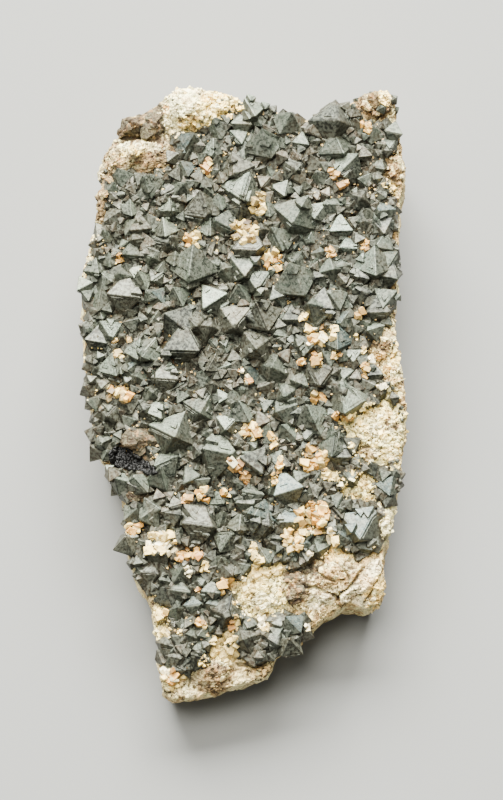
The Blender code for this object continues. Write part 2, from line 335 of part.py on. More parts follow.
def place_octahedron(seen, normal, spoke, edge):
    """Stand an octahedron on the slab top so that its face looks to be where it is listed."""
    middle = sum(seen, Vector((0.0, 0.0))) / 3.0
    normal = to_frame(normal)
    spoke = to_frame(spoke)
    inner = edge * math.sqrt(1.0 / 6.0)
    start = seen_point(middle.x, middle.y, FACE_STAND) - normal * inner
    gain = SIGHT.z - TOP_SLOPE * SIGHT.y
    wanted = CRYSTAL_LIFT * edge + BED_GAP + 0.3
    centre = start + SIGHT * ((wanted - start.z + top_height(start.y)) / gain)
    corners = []
    for third in range(3):
        arm = rotated(spoke, normal, math.radians(120.0 * third)) * (edge / math.sqrt(3.0))
        corners.append(normal * inner + arm)
    corners += [-corner for corner in corners]
    return centre, [centre + corner for corner in corners], edge


def listed_octahedra():
    """The listed crystals that are large enough to be solid pieces of the crust."""
    every = [octahedron_from_face(face) for face in LISTED_FACES]
    return [crystal for crystal in every if crystal[2] >= SMALLEST_SOLID]


def inside(x, y, outline):
    """Whether a point lies inside a closed outline."""
    hit = False
    for (ax, ay), (bx, by) in zip(outline, outline[1:] + outline[:1]):
        if (ay > y) != (by > y) and x < (bx - ax) * (y - ay) / (by - ay) + ax:
            hit = not hit
    return hit


def filling_octahedra(placed, smallest, largest, tries, seed, closeness):
    """Seeded octahedra in the places on the beds that the listed ones leave bare."""
    chance = random.Random(seed)
    spots = [(centre.x, centre.y, edge) for centre, corners, edge in placed]
    added = []
    for attempt in range(tries):
        outline = MAIN_BED if attempt % 12 else BEDS[1 + (attempt // 12) % 3]
        xs = [p[0] for p in outline]
        ys = [p[1] for p in outline]
        x = chance.uniform(min(xs), max(xs))
        y = chance.uniform(min(ys), max(ys))
        edge = chance.uniform(smallest, largest)
        lean = chance.uniform(0.0, 2.0 * math.pi)
        tip = math.radians(chance.uniform(8.0, 50.0))
        spin = chance.uniform(0.0, 2.0 * math.pi)
        if not inside(x, y, outline):
            continue
        foot = seen_point(x, y, FACE_STAND)
        near = [math.hypot(foot.x - sx, foot.y - sy) / (edge + size) for sx, sy, size in spots]
        if min(near) < closeness:
            continue
        normal = Vector((math.cos(lean) * math.sin(tip), math.sin(lean) * math.sin(tip), math.cos(tip)))
        spoke = Vector((math.cos(spin), math.sin(spin), 0.0))
        spoke = (spoke - normal * spoke.dot(normal)).normalized()
        seen = [Vector((x, y))] * 3
        added.append(place_octahedron(seen, normal, spoke, edge))
        spots.append((foot.x, foot.y, edge))
    return added


def new_object(name, build):
    """An object from a bmesh that holds millimetres in the slab's own layout."""
    for vertex in build.verts:
        vertex.co = Vector((
            (vertex.co.x + FRAME_SHIFT[0]) * MM,
            (vertex.co.y + FRAME_SHIFT[1]) * MM,
            vertex.co.z * MM,
        ))
    mesh = bpy.data.meshes.new(name)
    build.to_mesh(mesh)
    build.free()
    thing = bpy.data.objects.new(name, mesh)
    bpy.context.scene.collection.objects.link(thing)
    return thing


def add_ring_solid(build, rings):
    """Close a stack of rings, lowest first, into one solid with flat ends."""
    loops = [[build.verts.new(point) for point in ring] for ring in rings]
    build.faces.new(list(reversed(loops[0])))
    build.faces.new(loops[-1])
    count = len(loops[0])
    for low, high in zip(loops, loops[1:]):
        for i in range(count):
            j = (i + 1) % count
            build.faces.new((low[i], low[j], high[j]))
            build.faces.new((low[i], high[j], high[i]))


def counterclockwise(outline):
    area = 0.0
    for (ax, ay), (bx, by) in zip(outline, outline[1:] + outline[:1]):
        area += ax * by - bx * ay
    return outline if area > 0.0 else list(reversed(outline))


def slab(name, grow):
    """The bare rock, or the same rock swollen by a small clearance."""
    chance = random.Random(5)
    rim = []
    belt = []
    walls = [[] for level in WALL_LEVELS]
    for number, (x_seen, y_seen) in enumerate(counterclockwise(SLAB_RIM)):
        at = seen_point(x_seen, y_seen, 0.0)
        out = Vector((at.x, at.y * 0.45)).normalized()
        jag = chance.uniform(-0.35, 0.45)
        drop = BELT_DROP + chance.uniform(-0.7, 0.8)
        rim_y = at.y + out.y * grow
        rim.append((at.x + out.x * grow, rim_y, top_height(rim_y) + grow))
        push = grow + 0.6 * jag
        belt.append((at.x + out.x * push, at.y + out.y * push, top_height(at.y) - drop))
        for wall, (share, narrow_x, narrow_y, rough) in zip(walls, WALL_LEVELS):
            wave = math.sin(0.83 * number + 9.0 * share) + 0.6 * math.sin(0.31 * number + 4.0)
            push = grow + rough * (0.55 * wave + chance.uniform(-0.6, 0.6))
            height = share * (top_height(at.y) - drop) * (1.0 + 0.12 * math.sin(1.7 * number))
            low = -5.0 if grow and share == 0.0 else height
            wall.append((at.x * narrow_x + out.x * push, at.y * narrow_y + out.y * push, low))
    build = bmesh.new()
    add_ring_solid(build, walls + [belt, rim])
    rock = new_object(name, build)
    knobs = bmesh.new()
    for x, y, half_x, half_y, height, seed in ROCK_KNOBS:
        rough = random.Random(seed)
        middle = seen_point(x, y, 0.0)
        detail = 2 if half_x + half_y > 7.5 else 1
        made = bmesh.ops.create_icosphere(knobs, subdivisions=detail, radius=1.0)
        spin = rough.uniform(0.0, math.pi)
        for vertex in made["verts"]:
            swell = 1.0 + rough.uniform(-0.13, 0.13)
            flat = rotated(vertex.co, Vector((0.3, 0.2, 1.0)), spin) * swell
            vertex.co = Vector((
                middle.x + flat.x * (half_x + grow),
                middle.y + flat.y * (half_y + grow),
                top_height(middle.y + flat.y * half_y) + flat.z * (height + grow),
            ))
    bumps = new_object(name + "_knobs", knobs)
    return boolean(rock, bumps, "UNION")


def boolean(base, other, operation):
    """Combine two objects exactly and keep only the result, under the first one's name."""
    cut = base.modifiers.new("Join", "BOOLEAN")
    cut.operation = operation
    cut.solver = "EXACT"
    cut.use_self = True
    cut.object = other
    name = base.name
    graph = bpy.context.evaluated_depsgraph_get()
    mesh = bpy.data.meshes.new_from_object(base.evaluated_get(graph))
    bpy.data.objects.remove(base, do_unlink=True)
    bpy.data.objects.remove(other, do_unlink=True)
    mesh.name = name
    result = bpy.data.objects.new(name, mesh)
    bpy.context.scene.collection.objects.link(result)
    return result


def tidy(build):
    """Weld the tiny edges a Boolean leaves and turn every face into triangles."""
    bmesh.ops.triangulate(build, faces=build.faces[:])
    bmesh.ops.remove_doubles(build, verts=build.verts[:], dist=WELD)
    bmesh.ops.dissolve_degenerate(build, edges=build.edges[:], dist=WELD)
    bmesh.ops.triangulate(build, faces=build.faces[:])
    bmesh.ops.recalc_face_normals(build, faces=build.faces[:])


def split_islands(thing):
    """Separate a mesh into bmeshes, one for each connected piece, largest first."""
    source = bmesh.new()
    source.from_mesh(thing.data)
    tidy(source)
    source.verts.ensure_lookup_table()
    label = {}
    pieces = []
    for start in source.verts:
        if start in label:
            continue
        number = len(pieces)
        label[start] = number
        stack = [start]
        members = []
        while stack:
            vertex = stack.pop()
            members.append(vertex)
            for edge in vertex.link_edges:
                far = edge.other_vert(vertex)
                if far not in label:
                    label[far] = number
                    stack.append(far)
        pieces.append(members)
    islands = []
    for members in pieces:
        piece = bmesh.new()
        copies = {vertex: piece.verts.new(vertex.co) for vertex in members}
        faces = {face for vertex in members for face in vertex.link_faces}
        for face in sorted(faces, key=lambda f: f.index):
            piece.faces.new([copies[vertex] for vertex in face.verts])
        bmesh.ops.recalc_face_normals(piece, faces=piece.faces[:])
        islands.append((abs(piece.calc_volume()), piece))
    source.free()
    bpy.data.objects.remove(thing, do_unlink=True)
    islands.sort(key=lambda item: -item[0])
    return islands


def surface(name, colour, rough, metal):
    material = bpy.data.materials.new(name)
    material.use_nodes = True
    shader = material.node_tree.nodes["Principled BSDF"]
    shader.inputs["Base Color"].default_value = (*colour, 1.0)
    shader.inputs["Roughness"].default_value = rough
    shader.inputs["Metallic"].default_value = metal
    return material


MATRIX_ROCK = surface("matrix_rock", (0.62, 0.53, 0.40), 0.9, 0.0)
MAGNETITE = surface("magnetite", (0.11, 0.115, 0.11), 0.5, 0.55)

# Where each separate group of crystals stands, with its node's name.
GROUPS = [
    ("main_druse", 0.0, 5.0),
    ("rim_cluster", 29.0, -19.0),
    ("rim_crystal", 25.4, -16.0),
]


def crust_octahedra():
    listed = listed_octahedra()
    return listed + filling_octahedra(listed, 3.2, 4.8, 5000, 11, 0.48)


def build_all():
    crystals = bmesh.new()
    for centre, corners, edge in crust_octahedra():
        made = [crystals.verts.new(corner) for corner in corners]
        bmesh.ops.convex_hull(crystals, input=made)
    grown = new_object("crystals", crystals)
    beds = bmesh.new()
    for outline in BEDS:
        low = []
        high = []
        for x_seen, y_seen in counterclockwise(outline):
            at = seen_point(x_seen, y_seen, 0.0)
            low.append((at.x, at.y, top_height(at.y) - 0.6))
            high.append((at.x, at.y, top_height(at.y) + BED_GAP + BED_THICKNESS))
        add_ring_solid(beds, [low, high])
    bed = new_object("beds", beds)
    crust = boolean(grown, bed, "UNION")
    clearance = slab("clearance", BED_GAP)
    crust = boolean(crust, clearance, "DIFFERENCE")
    wanted = list(GROUPS)
    for volume, piece in split_islands(crust):
        centre = sum((vertex.co for vertex in piece.verts), Vector()) / len(piece.verts)
        name = None
        for group in wanted:
            x = (group[1] + FRAME_SHIFT[0]) * MM
            y = (group[2] + FRAME_SHIFT[1]) * MM
            reach = 0.02 if group[0] == "main_druse" else 0.0045
            if math.hypot(centre.x - x, centre.y - y) < reach and volume > 1e-9:
                name = group[0]
                wanted.remove(group)
                break
        if name is None:
            piece.free()
            continue
        mesh = bpy.data.meshes.new(name)
        piece.to_mesh(mesh)
        piece.free()
        node = bpy.data.objects.new(name, mesh)
        node.data.materials.append(MAGNETITE)
        bpy.context.scene.collection.objects.link(node)
    rock = slab("matrix", 0.0)
    volume, piece = split_islands(rock)[0]
    mesh = bpy.data.meshes.new("matrix")
    piece.to_mesh(mesh)
    piece.free()
    node = bpy.data.objects.new("matrix", mesh)
    node.data.materials.append(MATRIX_ROCK)
    bpy.context.scene.collection.objects.link(node)


build_all()
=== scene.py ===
"""Magnetite crystals on matrix: a wedge of pale rock under a crust of dark octahedra."""

import math
import random

import bmesh
import bpy
from mathutils import Matrix, Vector, noise
from mathutils.bvhtree import BVHTree


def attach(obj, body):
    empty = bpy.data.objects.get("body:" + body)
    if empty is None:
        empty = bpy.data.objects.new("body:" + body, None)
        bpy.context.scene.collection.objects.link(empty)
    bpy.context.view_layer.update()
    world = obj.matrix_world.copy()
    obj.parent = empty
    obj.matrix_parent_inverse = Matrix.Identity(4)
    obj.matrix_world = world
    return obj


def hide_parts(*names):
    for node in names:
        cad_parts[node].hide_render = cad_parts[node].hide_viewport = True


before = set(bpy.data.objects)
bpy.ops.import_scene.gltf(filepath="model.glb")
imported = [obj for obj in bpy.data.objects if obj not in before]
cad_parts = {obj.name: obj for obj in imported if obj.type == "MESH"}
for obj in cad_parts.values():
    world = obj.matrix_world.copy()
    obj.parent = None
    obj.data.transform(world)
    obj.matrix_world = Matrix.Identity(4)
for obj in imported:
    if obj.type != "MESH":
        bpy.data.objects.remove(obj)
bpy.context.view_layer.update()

# Without this, noise_vector gives other values in each run.
noise.seed_set(7)
MM = 0.001

# All lists are in millimetres, in the slab's own layout before this shift.
FRAME_SHIFT = Vector((0.05, -0.6, 0.0))

# The top of the slab is a plane that rises towards the back.
MIDDLE_HEIGHT = 20.0
TOP_SLOPE = 0.15
# The crystal faces are listed as they look from this height above the front.
VIEW_TILT = math.radians(72.0)
# A place in the front view is read at this height over the top plane.
FACE_STAND = 2.0
# An octahedron's centre stands at least this high over the plane, and higher by this share of its edge.
BED_GAP = 0.32
CRYSTAL_LIFT = 0.10
# Listed octahedra with shorter edges don't keep the filling ones away.
SMALLEST_SOLID = 2.8
# Listed faces are leaned over by this much more, but not past the steepest.
EXTRA_LEAN = math.radians(7.0)
STEEPEST_FACE = math.radians(56.0)
# A line of sight starts this far in front of the slab's top.
ABOVE_ALL = 60.0
# How far a bare place reaches, in its own half widths.
BARE_REACH = 1.1
# How much the tones of an octahedron's faces differ.
TONE_SPREAD = 0.18
# Size of the even faces that the rock is made of before its bare top gets finer ones, in metres.
ROCK_VOXEL = 0.0007
# One seed for each kind of thing that is placed by chance.
SEEDS = {
    "druse": 3, "filling": 11, "small": 17, "floor": 19, "between": 23, "little": 29,
    "lumps": 37, "grains": 41, "crumbs": 43, "beads": 47, "dust": 53,
}

SIGHT = Vector((0.0, -math.cos(VIEW_TILT), math.sin(VIEW_TILT)))
SIGHT_UP = Vector((0.0, math.sin(VIEW_TILT), math.cos(VIEW_TILT)))
SIGHT_RIGHT = Vector((1.0, 0.0, 0.0))

# Outlines of the thin crystal beds, as seen along the sight line.
MAIN_BED = [
    (-27.0, 43.0), (-20.0, 43.2), (-14.4, 44.4), (-13.4, 51.2), (-8.0, 52.8),
    (-3.0, 55.0), (0.6, 57.2), (4.4, 57.4), (9.4, 54.8), (12.6, 53.2),
    (15.2, 55.4), (19.0, 57.0), (23.2, 56.2), (25.2, 54.0), (30.2, 53.6),
    (31.0, 51.4), (30.4, 48.2), (28.4, 47.0), (27.8, 42.4), (30.2, 39.6),
    (30.2, 34.0), (30.2, 28.0), (30.6, 22.8), (30.0, 19.8), (29.6, 15.0),
    (28.4, 12.6), (25.2, 11.6), (24.2, 7.0), (24.6, 4.4), (28.2, 3.4),
    (28.4, 0.0), (25.2, -2.4), (21.0, -5.2), (18.6, -5.4), (18.4, -7.6),
    (21.0, -9.4), (22.2, -13.0), (23.4, -15.4), (23.0, -17.8), (20.2, -18.4),
    (16.6, -19.6), (20.6, -21.6), (26.2, -22.6), (26.8, -26.0), (27.2, -30.4),
    (26.0, -32.8), (22.6, -32.8), (21.6, -30.8), (18.8, -29.8), (17.8, -26.8),
    (14.2, -26.4), (13.4, -23.6), (12.4, -22.4), (12.2, -26.2), (9.2, -27.2),
    (8.0, -30.4), (7.0, -33.6), (5.4, -34.6), (3.0, -31.4), (1.2, -30.4),
    (0.4, -31.6), (2.0, -33.6), (2.0, -36.2), (-1.8, -36.6), (-6.0, -36.6),
    (-4.6, -37.6), (-3.8, -40.8), (-1.8, -41.6), (-2.2, -44.4), (-3.6, -48.0),
    (-6.0, -49.4), (-7.0, -52.0), (-9.2, -52.4), (-9.6, -56.0), (-12.6, -56.0),
    (-15.2, -54.4), (-15.6, -50.2), (-13.6, -47.4), (-14.2, -43.8), (-17.0, -41.8),
    (-17.8, -39.8), (-20.8, -36.6), (-21.8, -33.0), (-22.2, -29.4), (-23.0, -25.8),
    (-23.0, -22.0), (-24.6, -18.4), (-26.2, -16.2), (-27.4, -13.6), (-28.8, -11.4),
    (-29.0, -8.0), (-29.0, -4.4), (-30.0, -2.6), (-30.4, 1.0), (-30.6, 7.0),
    (-30.6, 12.4), (-30.8, 17.6), (-31.4, 22.8), (-30.8, 25.4), (-29.4, 27.8),
    (-28.6, 31.0), (-27.4, 34.0), (-27.0, 38.0),
]
MIDDLE_BED = [
    (9.6, -29.0), (11.6, -28.0), (16.2, -29.2), (15.8, -31.4), (12.2, -33.0),
    (11.6, -35.2), (9.4, -35.0), (8.8, -31.8),
]
FRONT_BED = [
    (-1.8, -48.8), (0.2, -46.8), (3.0, -46.6), (5.2, -47.2), (8.4, -45.2),
    (12.0, -44.6), (12.2, -47.4), (9.0, -51.0), (7.0, -52.8), (4.2, -52.8),
    (1.6, -53.2), (-0.8, -51.8),
]
RIM_BED = [
    (26.8, -17.8), (28.8, -16.2), (31.0, -16.6), (31.0, -19.8), (28.8, -21.6),
    (26.8, -20.2),
]
BEDS = [MAIN_BED, MIDDLE_BED, FRONT_BED, RIM_BED]

# One face of each octahedron, by its three corners. The letter says which way
# the face leans: up the slab, down it, to the left or to the right.
BACK_FACES = [
    (0.4, 59.2, 5.2, 58.0, 2.7, 55.0, "U"), (0.3, 57.0, -2.5, 53.8, 2.0, 53.5, "U"),
    (10.0, 56.0, 5.8, 56.0, 7.5, 51.5, "U"), (4.0, 52.6, 8.8, 51.0, 6.0, 46.4, "U"),
    (-2.6, 52.5, 1.5, 53.0, 0.0, 49.4, "U"), (2.2, 52.8, 1.1, 50.0, 3.7, 50.0, "U"),
    (-6.0, 54.6, -7.6, 51.3, -4.4, 50.4, "D"), (-5.8, 51.0, -8.8, 48.3, -5.7, 46.8, "U"),
    (-2.0, 48.3, -4.8, 43.8, -1.6, 43.2, "L"), (1.6, 44.2, -4.6, 41.6, -0.2, 38.0, "U"),
    (5.0, 45.2, 7.6, 44.6, 6.0, 42.6, "U"), (8.0, 46.5, 11.2, 44.5, 8.4, 41.8, "D"),
    (12.3, 52.6, 10.0, 50.0, 13.6, 49.4, "U"), (18.2, 48.3, 23.4, 47.6, 19.2, 43.2, "U"),
    (19.5, 43.3, 23.8, 45.9, 23.2, 41.0, "R"), (18.3, 52.6, 22.9, 49.8, 20.6, 47.6, "U"),
    (18.7, 59.0, 13.0, 54.4, 20.0, 54.2, "L"), (26.2, 53.5, 26.0, 49.5, 29.2, 51.5, "R"),
    (28.2, 50.9, 31.4, 50.9, 29.8, 48.6, "U"), (24.0, 51.2, 23.0, 49.6, 25.1, 49.4, "U"),
    (31.2, 54.6, 28.6, 52.4, 32.4, 51.6, "R"), (-13.6, 52.0, -9.6, 51.6, -12.0, 47.8, "U"),
    (-12.4, 46.4, -9.0, 45.8, -10.8, 42.9, "U"), (-20.0, 43.2, -15.3, 42.5, -18.2, 38.4, "U"),
]
UPPER_LEFT_FACES = [
    (-16.0, 35.0, -12.0, 32.6, -15.4, 30.6, "U"), (-18.0, 36.2, -14.6, 39.3, -14.4, 35.8, "U"),
    (-14.2, 37.4, -11.8, 36.6, -13.4, 33.8, "U"), (-22.6, 38.6, -20.0, 36.2, -22.2, 34.8, "U"),
    (-28.0, 33.8, -27.2, 37.0, -24.3, 36.2, "U"), (-24.1, 34.6, -21.4, 34.2, -23.6, 31.0, "U"),
    (-21.0, 34.0, -19.4, 35.5, -18.2, 32.4, "U"), (-17.2, 33.8, -18.2, 31.8, -16.2, 31.6, "U"),
    (-22.6, 32.2, -18.0, 32.6, -20.6, 29.6, "D"), (-22.0, 30.4, -18.4, 30.6, -20.8, 27.0, "D"),
    (-18.6, 30.4, -14.8, 29.8, -16.8, 25.9, "D"), (-14.4, 31.0, -11.3, 30.4, -13.6, 27.2, "D"),
    (-24.8, 30.8, -22.8, 29.8, -24.8, 28.3, "U"), (-26.9, 27.8, -24.2, 26.2, -26.5, 24.5, "U"),
    (-24.2, 27.4, -20.2, 27.0, -22.6, 24.9, "D"), (-20.3, 27.7, -18.0, 26.6, -19.2, 24.0, "D"),
    (-18.1, 25.2, -15.6, 26.2, -17.2, 23.8, "U"), (-23.4, 25.1, -20.0, 25.1, -21.6, 22.4, "U"),
    (-20.8, 23.8, -17.6, 23.4, -19.0, 19.9, "U"), (-32.8, 23.2, -33.2, 19.9, -29.9, 21.6, "U"),
    (-32.2, 24.0, -28.8, 23.4, -29.6, 21.4, "D"), (-28.8, 24.0, -24.8, 23.6, -26.0, 21.9, "U"),
    (-24.8, 23.6, -20.8, 22.6, -24.0, 19.4, "D"), (-18.2, 22.0, -15.6, 23.8, -15.9, 20.4, "D"),
    (-15.7, 25.4, -9.8, 29.3, -10.8, 21.2, "U"), (-8.3, 40.4, -4.8, 37.4, -6.0, 34.6, "U"),
    (-5.0, 39.7, -2.0, 38.2, -3.9, 36.0, "U"), (-9.6, 32.4, -6.4, 34.9, -6.3, 30.8, "U"),
    (-5.9, 34.5, -1.2, 32.0, -5.5, 29.9, "D"), (-4.0, 36.2, -0.3, 37.2, -0.8, 32.4, "D"),
    (-2.2, 28.4, 4.9, 28.0, 1.4, 23.0, "D"), (-2.8, 27.2, 0.4, 22.6, -2.6, 21.0, "D"),
    (-4.1, 27.5, -7.0, 26.0, -4.8, 24.9, "U"), (-4.0, 24.4, -5.7, 22.4, -1.8, 21.1, "D"),
    (-8.2, 21.6, -2.8, 19.4, -7.9, 16.0, "U"), (-28.3, 20.4, -31.0, 18.2, -28.9, 15.7, "U"),
    (-28.9, 17.0, -26.4, 15.7, -27.9, 14.0, "U"), (-27.2, 19.4, -20.2, 18.6, -24.2, 13.6, "D"),
    (-18.2, 19.6, -15.3, 20.9, -15.4, 17.0, "U"), (-13.8, 20.6, -9.9, 20.4, -11.8, 16.6, "U"),
    (-20.4, 16.7, -17.5, 17.5, -18.8, 15.2, "U"), (-18.9, 15.4, -16.8, 16.1, -18.4, 13.4, "U"),
    (-25.9, 15.9, -23.7, 14.9, -26.5, 13.6, "U"), (-28.5, 13.9, -23.9, 13.7, -26.0, 9.8, "U"),
    (-29.3, 14.4, -31.1, 11.9, -28.4, 11.0, "U"),
]
UPPER_RIGHT_FACES = [
    (6.0, 37.5, 13.4, 39.4, 10.0, 33.0, "U"), (5.9, 32.7, 10.9, 32.2, 8.3, 27.7, "U"),
    (0.7, 31.3, 4.4, 32.6, 4.2, 28.6, "D"), (9.5, 25.5, 15.4, 24.2, 12.8, 18.6, "U"),
    (8.2, 27.7, 12.4, 28.2, 10.0, 25.6, "U"), (0.2, 24.2, 5.8, 24.0, 3.0, 19.6, "U"),
    (-0.4, 21.3, 1.8, 20.6, 1.7, 17.2, "U"), (1.8, 21.0, 5.0, 20.4, 2.6, 17.2, "U"),
    (12.8, 37.6, 17.1, 37.9, 14.4, 34.2, "U"), (17.8, 40.0, 16.2, 37.3, 20.4, 37.3, "U"),
    (24.0, 39.0, 22.0, 35.2, 26.8, 36.3, "D"), (28.0, 38.8, 26.9, 35.9, 31.1, 36.4, "U"),
    (19.7, 36.0, 17.4, 31.8, 22.4, 32.0, "U"), (16.0, 34.4, 18.2, 34.6, 17.0, 32.4, "U"),
    (15.9, 32.4, 18.2, 32.0, 16.6, 30.6, "D"), (22.0, 33.0, 24.6, 34.2, 24.8, 30.6, "D"),
    (26.0, 34.4, 28.6, 31.4, 26.2, 30.4, "D"), (26.4, 34.9, 29.8, 34.6, 28.8, 31.6, "U"),
    (21.2, 31.6, 19.4, 28.4, 23.3, 28.4, "U"), (26.6, 29.2, 21.9, 25.0, 26.8, 22.6, "U"),
    (26.9, 27.9, 31.4, 27.8, 29.0, 23.9, "U"), (29.0, 32.2, 26.7, 28.6, 31.0, 28.1, "U"),
    (15.4, 29.5, 13.5, 27.4, 16.5, 28.0, "U"), (17.5, 27.5, 18.3, 24.2, 14.6, 23.4, "U"),
    (18.7, 27.3, 22.0, 25.3, 18.5, 24.3, "U"), (17.6, 23.0, 14.2, 22.6, 15.6, 19.8, "D"),
    (21.5, 23.2, 25.6, 22.4, 23.6, 19.8, "D"), (26.8, 23.2, 31.4, 22.4, 29.2, 19.8, "D"),
    (11.0, 32.0, 13.3, 31.9, 12.4, 29.9, "U"), (14.4, 32.8, 16.1, 29.4, 13.0, 29.6, "U"),
    (13.2, 26.6, 15.2, 26.4, 13.4, 24.2, "U"), (15.4, 20.4, 13.2, 17.2, 18.9, 16.2, "U"),
    (17.1, 20.0, 21.6, 20.2, 19.8, 15.9, "U"), (22.0, 20.2, 26.2, 19.6, 23.6, 16.4, "D"),
    (26.4, 20.6, 31.2, 20.0, 28.2, 16.2, "U"), (25.0, 15.6, 30.0, 15.7, 27.4, 12.6, "D"),
    (25.4, 14.2, 28.7, 13.1, 25.0, 12.0, "U"), (18.2, 15.6, 21.6, 16.0, 19.2, 12.7, "U"),
    (12.8, 16.8, 18.4, 16.4, 16.0, 12.6, "D"), (10.7, 11.2, 15.5, 10.2, 12.3, 6.6, "U"),
    (19.1, 13.2, 22.9, 10.0, 19.1, 7.8, "U"), (20.6, 8.2, 24.2, 8.2, 22.2, 5.4, "U"),
    (23.4, 14.2, 25.6, 13.6, 24.2, 11.4, "D"), (16.0, 10.4, 18.8, 9.6, 16.6, 7.6, "D"),
    (25.0, 3.0, 28.4, 3.2, 26.6, 0.6, "D"), (19.0, 4.9, 22.8, 4.3, 20.2, 1.9, "U"),
    (13.0, 5.6, 18.6, 5.0, 15.6, 0.6, "U"), (17.5, 1.8, 19.7, -0.6, 17.9, -4.0, "D"),
    (12.3, 4.3, 9.6, 2.0, 13.4, 0.6, "U"),
]
